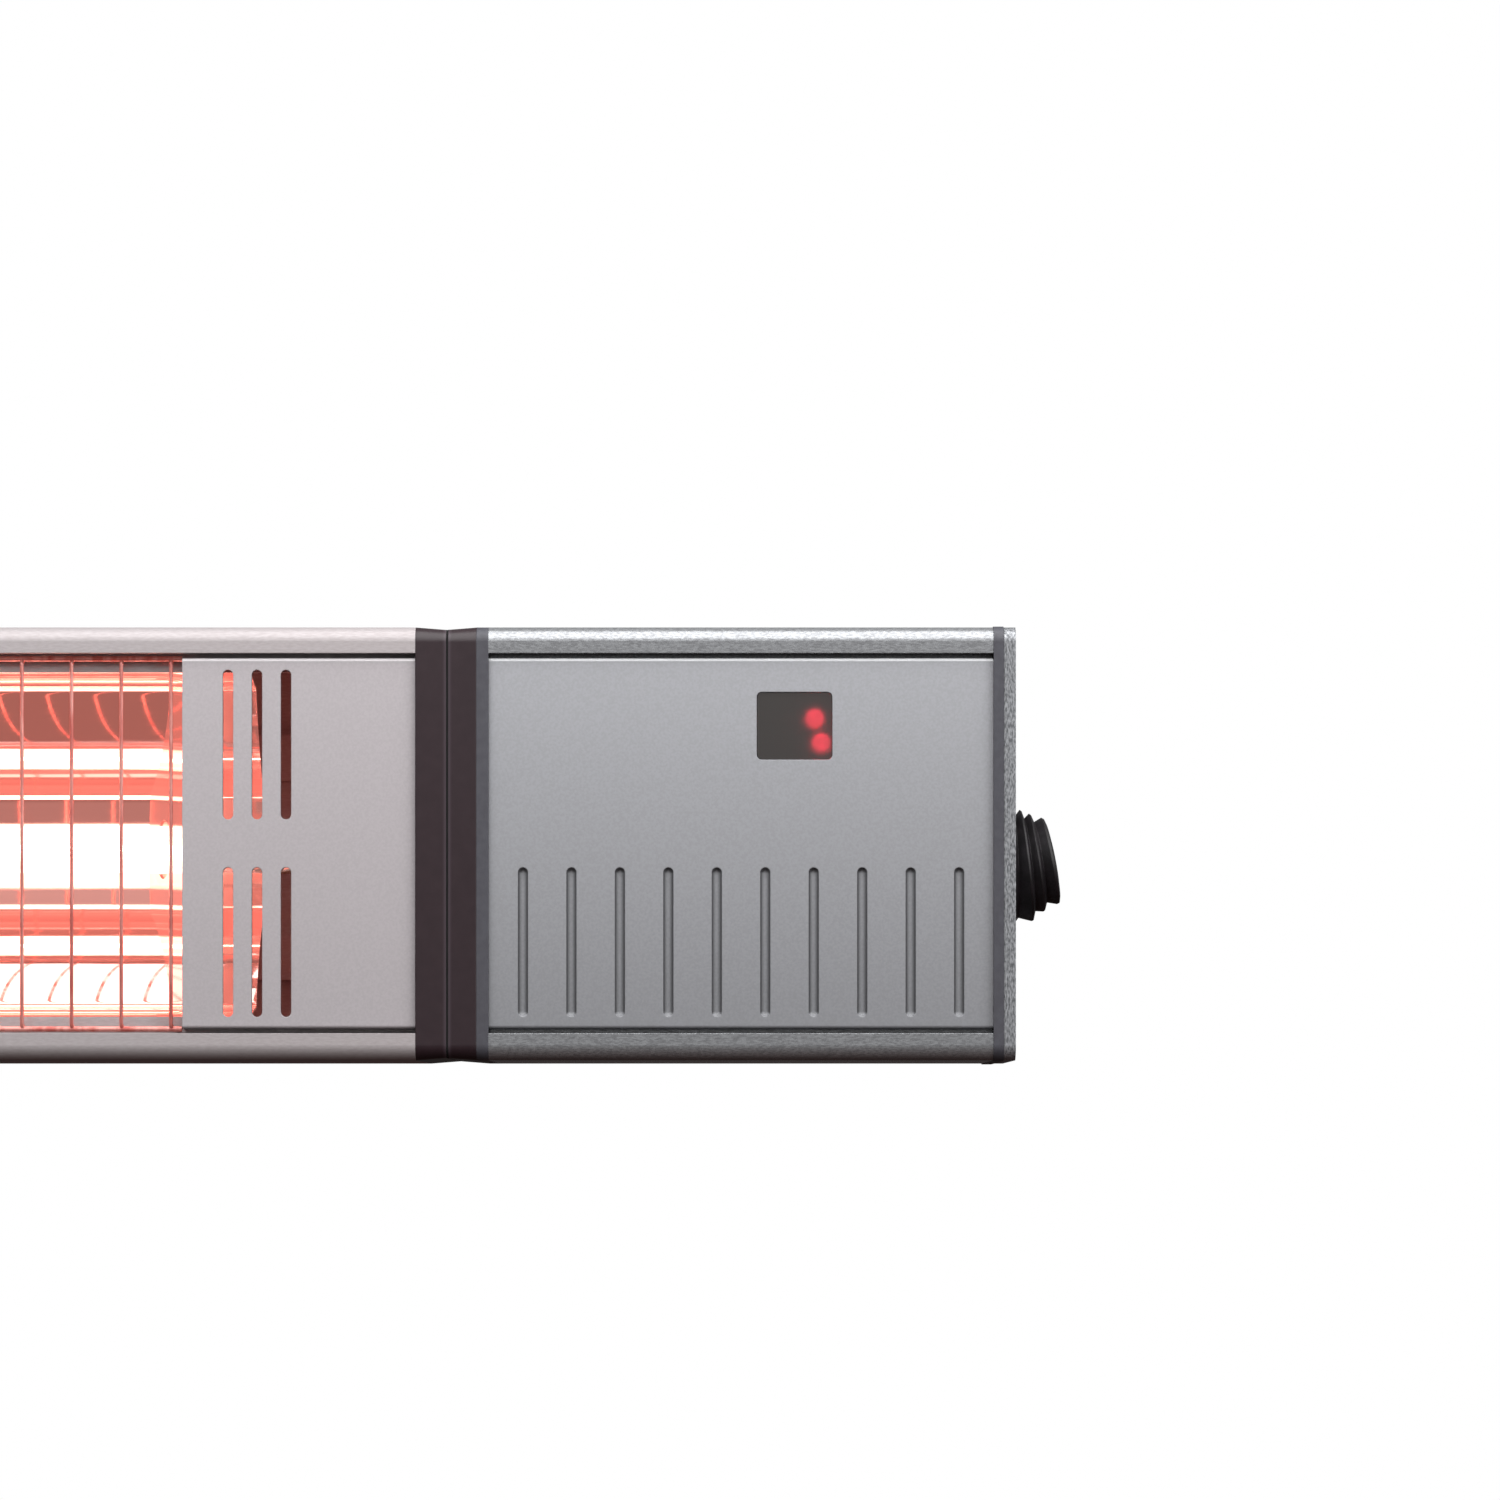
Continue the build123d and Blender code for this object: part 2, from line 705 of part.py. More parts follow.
def gland_rod(start, length, radius, mode=Mode.ADD):
    """Round bar on the gland's axis, made inside the part that is open."""
    with BuildSketch(section_plane(start)) as disc:
        with Locations((gland_y, gland_height)):
            Circle(radius)
    extrude(disc.sketch, amount=length, mode=mode)


with BuildPart() as gland_body:
    gland_rod(gland_start, gland_body_inside + end_plate_thickness + gland_body_outside,
              gland_body_radius)
    gland_rod(gland_start, gland_body_inside + end_plate_thickness + gland_body_outside,
              gland_bore_radius, Mode.SUBTRACT)
save(gland_body.part, "gland_body")

with BuildPart() as gland_nut:
    with BuildSketch(section_plane(right_plate_start - gland_nut_thickness)):
        with Locations((gland_y, gland_height)):
            RegularPolygon(gland_nut_radius, 6)
            Circle(gland_body_radius, mode=Mode.SUBTRACT)
    extrude(amount=gland_nut_thickness)
save(gland_nut.part, "gland_nut")


def boot_plane(reach, rise, tilt):
    """Plane of one ring of the boot: its normal leans up from +X by the tilt."""
    return Plane(origin=(right_end + reach, gland_y, gland_height + rise), x_dir=(0, 1, 0),
                 z_dir=(cos(radians(tilt)), 0, sin(radians(tilt))))


with BuildPart() as cable_boot:
    for radius, rise, reach, tilt, thickness in zip(
            boot_radii, boot_rise, boot_reach, boot_tilt, boot_ring_thickness):
        with Locations(boot_plane(reach, rise, tilt)):
            Cone(radius * boot_ring_taper, radius, thickness,
                 align=(Align.CENTER, Align.CENTER, Align.MAX))
    with Locations(boot_plane(boot_reach[-1] / 2, boot_rise[-1] / 2, boot_tilt[-1] / 2)):
        Cylinder(boot_radii[-1] * boot_ring_taper, boot_reach[-1])
    with Locations(boot_plane(boot_reach[-1], boot_rise[-1], boot_tilt[-1])):
        Cone(boot_radii[-1], boot_radii[-1] - boot_nose, boot_nose,
             align=(Align.CENTER, Align.CENTER, Align.MIN))
    split(bisect_by=section_plane(right_end), keep=Keep.TOP)
    gland_rod(right_end, gland_body_outside, gland_body_radius, Mode.SUBTRACT)
    gland_rod(right_end, 2 * boot_reach[-1], boot_bore_radius, Mode.SUBTRACT)
save(cable_boot.part, "cable_boot")

# ---- Power box: display frame, control board and what stands on it ----
lens_back = at_depth(panel_recess + lens_recess + lens_thickness)
with BuildPart() as display_frame:
    with BuildSketch(face_plane(display_board_front)):
        with Locations((display_x, display_centre_height)):
            RectangleRounded(display_width + 2 * display_frame_border,
                             display_height + 2 * display_frame_border, 2)
            RectangleRounded(display_width - 2 * display_frame_cover,
                             display_height - 2 * display_frame_cover, 1, mode=Mode.SUBTRACT)
    extrude(amount=display_board_front - lens_back)
save(display_frame.part, "display_frame")

box_middle = (box_start + box_end) / 2
board_back = rear - wall - board_standoff_length
board_front = board_back - board_thickness
hole_x = board_length / 2 - board_hole_inset
hole_z = board_height / 2 - board_hole_inset


def on_board(place):
    """Point on the control board's plane, from a place counted from the board's middle."""
    return (box_middle + place[0], place[1])


with BuildPart() as board_standoffs:
    with BuildSketch(face_plane(rear - wall)):
        with Locations((box_middle, 0)):
            with GridLocations(2 * hole_x, 2 * hole_z, 2, 2):
                RegularPolygon(board_standoff_radius, 6)
    extrude(amount=board_standoff_length)
save(board_standoffs.part, "board_standoffs")

with BuildPart() as control_board:
    with BuildSketch(face_plane(board_back)):
        with Locations((box_middle, 0)):
            RectangleRounded(board_length, board_height, 3)
            with GridLocations(2 * hole_x, 2 * hole_z, 2, 2):
                Circle(board_hole_radius, mode=Mode.SUBTRACT)
    extrude(amount=board_thickness)
save(control_board.part, "control_board")

with BuildPart() as transformer:
    with BuildSketch(face_plane(board_front)):
        with Locations(on_board(transformer_place)):
            Rectangle(transformer_size[0], transformer_size[1])
    extrude(amount=transformer_size[2])
    with BuildSketch(face_plane(board_front - (transformer_size[2] - coil_size[2]) / 2)):
        with Locations(on_board(transformer_place)):
            RectangleRounded(coil_size[0], coil_size[1], 3)
    extrude(amount=coil_size[2])
save(transformer.part, "transformer")

with BuildPart() as power_relays:
    with BuildSketch(face_plane(board_front)):
        with Locations(*[on_board(place) for place in relay_places]):
            Rectangle(relay_size[0], relay_size[1])
    extrude(amount=relay_size[2])
    fillet(power_relays.edges().filter_by(Axis.Y), 1)
save(power_relays.part, "power_relays")

fin_pitch = (sink_size[0] - fin_thickness) / (fin_count - 1)
with BuildPart() as heat_sink:
    with BuildSketch(face_plane(board_front)):
        with Locations(on_board(sink_place)):
            Rectangle(sink_size[0], sink_size[1])
    extrude(amount=sink_base)
    with BuildSketch(face_plane(board_front - sink_base)):
        with Locations(on_board(sink_place)):
            with GridLocations(fin_pitch, 1, fin_count, 1):
                Rectangle(fin_thickness, sink_size[1])
    extrude(amount=sink_size[2] - sink_base)
save(heat_sink.part, "heat_sink")

with BuildPart() as capacitor:
    with BuildSketch(face_plane(board_front)):
        with Locations(on_board(capacitor_place)):
            Circle(capacitor_radius)
    extrude(amount=capacitor_length)
    fillet(capacitor.faces().sort_by(Axis.Y)[0].edges(), 1)
save(capacitor.part, "capacitor")

terminal_pitch = terminal_size[0] / terminal_count
terminal_x, terminal_z = on_board(terminal_place)
terminal_row = [terminal_x + terminal_pitch * (number - (terminal_count - 1) / 2)
                for number in range(terminal_count)]
terminal_top = terminal_z + terminal_size[1] / 2
wire_entry_y = board_front - terminal_size[2] / 3
with BuildPart() as terminal_block:
    with BuildSketch(face_plane(board_front)):
        with Locations((terminal_x, terminal_z)):
            Rectangle(terminal_size[0], terminal_size[1])
    extrude(amount=terminal_size[2])
    with BuildSketch(face_plane(board_front - terminal_size[2])):
        with Locations(*[(x, terminal_z) for x in terminal_row]):
            Circle(terminal_screw_radius)
    extrude(amount=-terminal_size[2] / 3, mode=Mode.SUBTRACT)
    with BuildSketch(Plane.XY.offset(terminal_top)):
        with Locations(*[(x, wire_entry_y) for x in terminal_row]):
            Circle(terminal_mouth_radius)
    extrude(amount=-terminal_size[1] / 3, mode=Mode.SUBTRACT)
save(terminal_block.part, "terminal_block")

fuse_x, fuse_z = on_board(fuse_place)
with BuildPart() as fuse_holder:
    with Locations((fuse_x, board_front - fuse_clip - 0.5, fuse_z)):
        Cylinder(fuse_radius, fuse_length, rotation=(0, 90, 0))
    with Locations(*[(fuse_x + end * (fuse_length - fuse_clip) / 2, board_front - fuse_clip, fuse_z)
                     for end in (-1, 1)]):
        Box(fuse_clip, 2 * fuse_clip, 3 * fuse_radius)
save(fuse_holder.part, "fuse_holder")

# ---- Lamp leads: insulated wires held between the terminal block and the lamp caps ----
back_lane = at_depth(trough_back_depth + lead_lane_gap)
for side, (end_x, outward) in lamp_ends.items():
    cap_end = end_x + outward * (lamp_cap_gap + lamp_cap_length)
    terminal = terminal_row[2] if side == "left" else terminal_row[1]
    lane_z = lead_hole_spread * outward
    route = [(terminal, wire_entry_y, terminal_top),
             (terminal, wire_entry_y, lane_z - lead_turn),
             (terminal - lead_turn, middle, lane_z)]
    if side == "left":
        route += [(housing_end - lead_turn, middle, lane_z),
                  (housing_end - 3.5 * lead_turn, back_lane, lane_z),
                  (cap_end - lead_turn, back_lane, lane_z),
                  (cap_end - lead_turn, lamp_y, 0), (cap_end, lamp_y, 0)]
    else:
        route += [(cap_end + 2 * lead_turn, middle, lane_z), (cap_end + lead_turn, lamp_y, 0),
                  (cap_end, lamp_y, 0)]
    with BuildPart() as lead:
        with BuildLine() as lead_path:
            FilletPolyline(*route, radius=lead_bend_radius)
        with BuildSketch(Plane(origin=route[0], z_dir=(0, 0, 1))):
            Circle(lead_radius)
        sweep()
    save(lead.part, f"lamp_lead_{side}")

# ---- Wall bracket ----
ear_outer = wall_plate_length / 2
saddle_ear_outer = ear_outer - bracket_sheet - ear_gap


def make_ear(start, thickness, base_y, hole_radius):
    """Tapered lug across the pivot, from its base to a round eye with the bolt's hole."""
    with BuildPart() as lug:
        with BuildSketch(section_plane(start)):
            with BuildLine():
                Polyline((base_y, ear_height / 2), (pivot_y, ear_radius), (pivot_y, -ear_radius),
                         (base_y, -ear_height / 2), close=True)
            make_face()
            with Locations((pivot_y, 0)):
                Circle(ear_radius)
                Circle(hole_radius, mode=Mode.SUBTRACT)
        extrude(amount=thickness)
    return lug.part


with BuildPart() as wall_plate:
    with BuildSketch(face_plane(0)):
        Rectangle(wall_plate_length, wall_plate_height)
        with GridLocations(wall_hole_spacing_x, wall_hole_spacing_z, 2, 2):
            Circle(wall_hole_radius, mode=Mode.SUBTRACT)
    extrude(amount=bracket_sheet)
    fillet(wall_plate.edges().filter_by(Axis.Y).group_by(Axis.X)[0], 6)
    fillet(wall_plate.edges().filter_by(Axis.Y).group_by(Axis.X)[-1], 6)
    for ear_x in (-ear_outer, ear_outer - bracket_sheet):
        add(make_ear(ear_x, bracket_sheet, -bracket_sheet / 2, bolt_radius))
save(wall_plate.part, "wall_plate")

stud_x_inset = saddle_length / 2
for side, outward in (("left", -1), ("right", 1)):
    ear_start = min(outward * saddle_ear_outer, outward * (saddle_ear_outer - saddle_sheet))
    base_centre = outward * (saddle_ear_outer - saddle_length / 2)
    with BuildPart() as saddle:
        with BuildSketch(face_plane(rear + saddle_sheet)):
            with Locations((base_centre, 0)):
                RectangleRounded(saddle_length, 2 * t_slot_height + saddle_length / 2, 4)
            with Locations((base_centre, t_slot_height), (base_centre, -t_slot_height)):
                Circle(stud_radius + stud_clearance, mode=Mode.SUBTRACT)
        extrude(amount=saddle_sheet)
        add(make_ear(ear_start, saddle_sheet, rear + saddle_sheet / 2, bolt_radius + running_gap))
    save(saddle.part, f"saddle_{side}")

stud_places = [(outward * (saddle_ear_outer - saddle_length / 2), up * t_slot_height)
               for outward in (-1, 1) for up in (-1, 1)]
nut_thickness = 5.0
with BuildPart() as saddle_bolts:
    with BuildSketch(face_plane(rear - wall)):
        with Locations(*stud_places):
            Rectangle(t_slot_width - 2 * nut_slide_gap, t_slot_width - 2 * nut_slide_gap)
    extrude(amount=t_slot_depth - nut_slide_gap)
    with BuildSketch(face_plane(rear - wall)):
        with Locations(*stud_places):
            Circle(stud_radius)
    extrude(amount=-(wall + saddle_sheet + nut_thickness + 1))
save(saddle_bolts.part, "saddle_bolts")

with BuildPart() as saddle_nuts:
    with BuildSketch(face_plane(rear + saddle_sheet)):
        with Locations(*stud_places):
            RegularPolygon(5.8, 6)
            Circle(stud_radius, mode=Mode.SUBTRACT)
    extrude(amount=-nut_thickness)
save(saddle_nuts.part, "saddle_nuts")

washer_thickness = 1.5
knob_gap = 0.3
knob_start = ear_outer + washer_thickness + knob_gap


def pivot_rod(start, length, radius, mode=Mode.ADD):
    """Round bar on the pivot's axis, made inside the part that is open."""
    with BuildSketch(section_plane(start)) as disc:
        with Locations((pivot_y, 0)):
            Circle(radius)
    extrude(disc.sketch, amount=length, mode=mode)


with BuildPart() as pivot_washers:
    for outward in (-1, 1):
        pivot_rod(outward * ear_outer, outward * washer_thickness, ear_radius - 3)
        pivot_rod(outward * ear_outer, outward * washer_thickness, bolt_radius, Mode.SUBTRACT)
save(pivot_washers.part, "pivot_washers")

for side, outward in (("left", -1), ("right", 1)):
    head_end = saddle_ear_outer - saddle_sheet - ear_gap
    with BuildPart() as pivot_bolt:
        pivot_rod(outward * head_end, -outward * bolt_head_thickness, bolt_head_radius)
        pivot_rod(outward * head_end, outward * (knob_start + knob_length - 4 - head_end), bolt_radius)
    save(pivot_bolt.part, f"pivot_bolt_{side}")

    with BuildPart() as clamp_knob:
        pivot_rod(outward * knob_start, outward * knob_length, knob_radius)
        with BuildSketch(section_plane(outward * knob_start)):
            with Locations((pivot_y, 0)):
                with PolarLocations(knob_radius + 2, knob_flutes):
                    Circle(4.5)
        extrude(amount=outward * knob_length, mode=Mode.SUBTRACT)
        knob_face = clamp_knob.faces().sort_by(Axis.X)[-1 if outward > 0 else 0]
        chamfer(knob_face.edges(), 1)
        pivot_rod(outward * knob_start, outward * (knob_length - 3), bolt_radius + running_gap,
                  Mode.SUBTRACT)
    save(clamp_knob.part, f"clamp_knob_{side}")
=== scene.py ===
"""Infrared strip heater with a gold quartz lamp: finishes and fine shapes on its CAD frame.

Lengths are in metres and angles in radians unless a property says otherwise.
"""
import math

import bpy
import numpy as np
from bpy.props import FloatProperty, FloatVectorProperty, PointerProperty
from bpy.types import Operator, Panel, PropertyGroup
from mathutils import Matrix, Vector


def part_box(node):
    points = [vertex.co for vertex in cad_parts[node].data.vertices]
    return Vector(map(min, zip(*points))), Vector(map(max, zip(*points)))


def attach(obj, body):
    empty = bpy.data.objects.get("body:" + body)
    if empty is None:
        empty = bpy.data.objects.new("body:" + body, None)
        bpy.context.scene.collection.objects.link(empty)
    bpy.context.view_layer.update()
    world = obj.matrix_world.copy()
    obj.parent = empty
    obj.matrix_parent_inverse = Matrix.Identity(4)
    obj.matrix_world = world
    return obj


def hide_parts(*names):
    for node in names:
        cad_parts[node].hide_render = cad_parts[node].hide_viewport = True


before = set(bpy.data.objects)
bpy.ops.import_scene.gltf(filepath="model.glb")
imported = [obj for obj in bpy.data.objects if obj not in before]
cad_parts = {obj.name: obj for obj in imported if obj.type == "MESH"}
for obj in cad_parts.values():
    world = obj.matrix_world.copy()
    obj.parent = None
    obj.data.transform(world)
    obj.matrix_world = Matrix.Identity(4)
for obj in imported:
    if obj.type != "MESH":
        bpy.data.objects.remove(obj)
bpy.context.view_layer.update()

bl_info = {
    "name": "Infrared Strip Heater",
    "version": (1, 0, 0),
    "blender": (4, 5, 0),
    "location": "View3D > Sidebar > Heater",
    "description": "Builds the finishes and fine shapes of an infrared strip heater",
    "category": "Object",
}

MM = 0.001


# ---- Places read from the frame ----
def low(node):
    """Lowest corner of a CAD node at rest."""
    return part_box(node)[0]


def high(node):
    """Highest corner of a CAD node at rest."""
    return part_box(node)[1]


FRONT = low("lamp_housing").y
WINDOW_LEFT = high("cover_panel_left").x
WINDOW_RIGHT = low("cover_panel_right").x
LAMP_Y = (low("quartz_tube").y + high("quartz_tube").y) / 2
LAMP_RADIUS = high("quartz_tube").z
PLATE_FACE = high("end_plate_right").x


# ---- Finishes ----
def srgb(code):
    """Linear RGBA of a hex colour.

    Each channel c becomes c / 12.92 when it is dark, or else ((c + 0.055) / 1.055) ** 2.4.
    """
    channels = [int(code[place:place + 2], 16) / 255 for place in (1, 3, 5)]
    linear = [c / 12.92 if c <= 0.04045 else ((c + 0.055) / 1.055) ** 2.4 for c in channels]
    return (*linear, 1.0)


def add_node(tree, kind, inputs=(), **settings):
    """One node with its settings; an input takes a value, or a link where it is another node's socket."""
    node = tree.nodes.new(kind)
    for name, value in settings.items():
        setattr(node, name, value)
    for name, value in dict(inputs).items():
        if isinstance(value, bpy.types.NodeSocket):
            tree.links.new(value, node.inputs[name])
        else:
            node.inputs[name].default_value = value
    return node


def new_finish(name, colour, roughness, metallic=0.0, **constants):
    """A material with its constant values set, its node tree, its shader and its object coordinates."""
    finish = bpy.data.materials.new(name)
    finish.use_nodes = True
    tree = finish.node_tree
    shader = tree.nodes["Principled BSDF"]
    constants.update(Base_Color=colour, Roughness=roughness, Metallic=metallic)
    for socket, value in constants.items():
        shader.inputs[socket.replace("_", " ")].default_value = value
    return finish, tree, shader, add_node(tree, "ShaderNodeTexCoord").outputs["Object"]


def grained(name, dark, light, tone_size, roughness, relief_size=0.6 * MM, relief=0.05 * MM, edge=0.3 * MM,
            metallic=0.0, stretch=(1, 1, 1), contrast=0.12, strength=0.3, **constants):
    """A finish with a cloudy tone between two colours, uneven gloss, a fine relief and softened edges.

    Tone and relief are noise with blobs of the given sizes, drawn out along an axis by the stretch.
    """
    finish, tree, shader, place = new_finish(name, light, roughness, metallic, **constants)
    drawn = add_node(tree, "ShaderNodeMapping", {"Vector": place, "Scale": stretch}).outputs["Vector"]
    cloud = add_node(tree, "ShaderNodeTexNoise",
                     {"Vector": drawn, "Scale": 1 / tone_size, "Detail": 3.0}).outputs["Fac"]
    factor = add_node(tree, "ShaderNodeMapRange",
                      {"Value": cloud, "From Min": 0.5 - contrast, "From Max": 0.5 + contrast}).outputs[0]
    tone = add_node(tree, "ShaderNodeMix", {0: factor, 6: dark, 7: light}, data_type="RGBA").outputs[2]
    tree.links.new(tone, shader.inputs["Base Color"])
    gloss = add_node(tree, "ShaderNodeMapRange",
                     {"Value": cloud, "From Min": 0.3, "From Max": 0.7, "To Min": roughness + 0.05,
                      "To Max": roughness - 0.05}).outputs[0]
    tree.links.new(gloss, shader.inputs["Roughness"])
    rounded = add_node(tree, "ShaderNodeBevel", {"Radius": edge}, samples=4).outputs[0]
    height = add_node(tree, "ShaderNodeTexNoise",
                      {"Vector": drawn, "Scale": 1 / relief_size, "Detail": 2.0}).outputs["Fac"]
    bump = add_node(tree, "ShaderNodeBump",
                    {"Height": height, "Normal": rounded, "Strength": strength, "Distance": relief})
    tree.links.new(bump.outputs[0], shader.inputs["Normal"])
    return finish


def panel_coat(name, dark, light, edge, foot):
    """A sprayed panel's finish: mottled, with a painted highlight along its top edge and painted shade in its
    pressed grooves.

    A groove's wall gets painted shade, darker the more it turns sideways or down from the panel's face. The
    coat also gets painted shade evenly downwards, to the foot's share of its tone.
    """
    finish, tree, shader, place = new_finish(name, light, 0.38)
    top = high("control_panel").z
    # Painted highlight: a bright band along the top edge, where its rounding would catch the light from
    # above; edge is its colour.
    highlight_start, highlight_end = top - 1.2 * MM, top - 0.7 * MM
    height = add_node(tree, "ShaderNodeSeparateXYZ", {"Vector": place}).outputs["Z"]
    painted_edge_highlight = add_node(tree, "ShaderNodeMapRange",
                    {"Value": height, "From Min": highlight_start, "From Max": highlight_end}).outputs[0]
    cloud = add_node(tree, "ShaderNodeTexNoise",
                     {"Vector": place, "Scale": 1 / (0.8 * MM), "Detail": 3.0}).outputs["Fac"]
    mottled = add_node(tree, "ShaderNodeMapRange",
                       {"Value": cloud, "From Min": 0.38, "From Max": 0.62}).outputs[0]
    tone = add_node(tree, "ShaderNodeMix", {0: mottled, 6: dark, 7: light}, data_type="RGBA").outputs[2]
    tone_with_highlight = add_node(tree, "ShaderNodeMix", {0: painted_edge_highlight, 6: tone, 7: edge}, data_type="RGBA").outputs[2]
    # Painted shade: groove walls darker the more they turn sideways or down, away from the light.
    facing = add_node(tree, "ShaderNodeTexCoord").outputs["Normal"]
    turned = add_node(tree, "ShaderNodeSeparateXYZ", {"Vector": facing})
    aside = add_node(tree, "ShaderNodeMath", {0: turned.outputs["X"]}, operation="ABSOLUTE").outputs[0]
    away = add_node(tree, "ShaderNodeMath", {0: aside, 1: turned.outputs["Z"]},
                    operation="SUBTRACT").outputs[0]
    lit = add_node(tree, "ShaderNodeMapRange",
                   {"Value": away, "From Min": 0.15, "From Max": 0.75, "To Min": 1.0,
                    "To Max": 0.3}).outputs[0]
    # Painted shade: the coat darker towards the bottom, as if lit from above.
    painted_downward_shade = add_node(tree, "ShaderNodeMapRange",
                    {"Value": height, "From Min": -top, "From Max": top, "To Min": foot}).outputs[0]
    share = add_node(tree, "ShaderNodeMath", {0: lit, 1: painted_downward_shade}, operation="MULTIPLY").outputs[0]
    shaded = add_node(tree, "ShaderNodeMix", {0: 1.0, 6: tone_with_highlight, 7: share}, data_type="RGBA",
                      blend_type="MULTIPLY").outputs[2]
    tree.links.new(shaded, shader.inputs["Base Color"])
    gloss = add_node(tree, "ShaderNodeMapRange",
                     {"Value": cloud, "From Min": 0.3, "From Max": 0.7, "To Min": 0.43, "To Max": 0.33})
    tree.links.new(gloss.outputs[0], shader.inputs["Roughness"])
    rounded = add_node(tree, "ShaderNodeBevel", {"Radius": 0.5 * MM}, samples=4).outputs[0]
    peel = add_node(tree, "ShaderNodeTexNoise", {"Vector": place, "Scale": 1 / (0.6 * MM)}).outputs["Fac"]
    bump = add_node(tree, "ShaderNodeBump",
                    {"Height": peel, "Normal": rounded, "Strength": 0.3, "Distance": 0.05 * MM})
    tree.links.new(bump.outputs[0], shader.inputs["Normal"])
    return finish


def give(finish, *names):
    """Puts one finish on the CAD nodes of these names."""
    for name in names:
        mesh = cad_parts[name].data
        mesh.materials.clear()
        mesh.materials.append(finish)


# ---- Meshes from numpy surfaces ----
def make_piece(name, grids, finish, body, replaced=(), crease=35):
    """One object from grids of points, whose edges past the crease angle in degrees stay sharp.

    Each grid is (points, closed): points has the shape rows by columns by 3, its columns run round a
    closed loop, and its rows join first to last as well where closed is true.
    """
    vertices, faces, start = [], [], 0
    for points, closed in grids:
        rows, columns = points.shape[:2]
        r, c = np.meshgrid(np.arange(rows if closed else rows - 1), np.arange(columns), indexing="ij")
        after, beside = (r + 1) % rows, (c + 1) % columns
        quads = np.stack([r * columns + c, r * columns + beside, after * columns + beside,
                          after * columns + c], -1)
        vertices.append(points.reshape(-1, 3))
        faces.append(quads.reshape(-1, 4) + start)
        start += rows * columns
    mesh = bpy.data.meshes.new(name)
    mesh.from_pydata(np.concatenate(vertices).tolist(), [], np.concatenate(faces).tolist())
    mesh.validate()
    mesh.shade_smooth()
    mesh.set_sharp_from_angle(angle=math.radians(crease))
    mesh.materials.append(finish)
    piece = bpy.data.objects.new(name, mesh)
    bpy.context.scene.collection.objects.link(piece)
    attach(piece, body)
    if replaced:
        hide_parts(*replaced)
    return piece


def tube_along(path, radius, sides=12):
    """Grid of a round rod: a circle square to the path at each of its points, and a point at both ends."""
    never_along = [0.13, 0.31, 0.94]
    along = np.gradient(path, axis=0)
    along /= np.linalg.norm(along, axis=1, keepdims=True)
    side = np.cross(along, never_along)
    side /= np.linalg.norm(side, axis=1, keepdims=True)
    up = np.cross(along, side)
    angle = np.linspace(0, 2 * np.pi, sides, endpoint=False)[None, :, None]
    ring = side[:, None] * np.cos(angle) + up[:, None] * np.sin(angle)
    body = path[:, None] + ring * radius
    return np.concatenate([path[:1, None].repeat(sides, 1), body, path[-1:, None].repeat(sides, 1)])


def turned_along_x(stations, shape, sides=48):
    """Grid turned about the lamp's axis: at each x a closed curve with |y / a| ** n + |z / b| ** n = 1.

    stations are the x places; shape is rows of a, b and n at each of them.
    """
    angle = np.linspace(0, 2 * np.pi, sides, endpoint=False)
    across, up, power = (column[:, None] for column in np.asarray(shape, float).T)
    cosine, sine = np.cos(angle)[None], np.sin(angle)[None]
    y = LAMP_Y + across * np.sign(cosine) * np.abs(cosine) ** (2 / power)
    z = up * np.sign(sine) * np.abs(sine) ** (2 / power)
    return np.stack([np.broadcast_to(np.asarray(stations)[:, None], y.shape), y, z], -1)


# ---- Properties ----
class HeaterColours(PropertyGroup):
    """Glow values of the heater."""
    coil_glow: FloatProperty(name="Coil glow", description="Strength of the filament's light",
                             default=14.0, min=0)
    tube_glow: FloatProperty(name="Tube glow", description="Strength of the quartz tube's light",
                             default=1.7, min=0)
    glow_colour: FloatVectorProperty(name="Glow colour", description="Colour of the quartz tube's light",
                                     subtype="COLOR", size=3, default=(1.0, 0.62, 0.52))
    display_glow: FloatProperty(name="Display glow", description="Strength of the display lights",
                                default=22.0, min=0)


class HeaterSizes(PropertyGroup):
    """Sizes of the fine shapes that the CAD frame leaves plain."""
    coil_pitch: FloatProperty(name="Coil pitch", description="Distance between the filament's turns",
                              default=1.3 * MM, unit="LENGTH")
    coil_wire: FloatProperty(name="Coil wire", description="Radius of the filament's wire",
                             default=0.3 * MM, unit="LENGTH")
    corner_rounding: FloatProperty(name="Reflector bends", description="Length of each rounded bend",
                                   default=5 * MM, unit="LENGTH")
    wall_bow: FloatProperty(name="Reflector bow", description="How far the trough's side walls bow inwards",
                            default=1.4 * MM, unit="LENGTH")
    facet_bow: FloatProperty(name="Facet bow", description="How far the trough's slanted facets bow inwards",
                             default=4.0 * MM, unit="LENGTH")


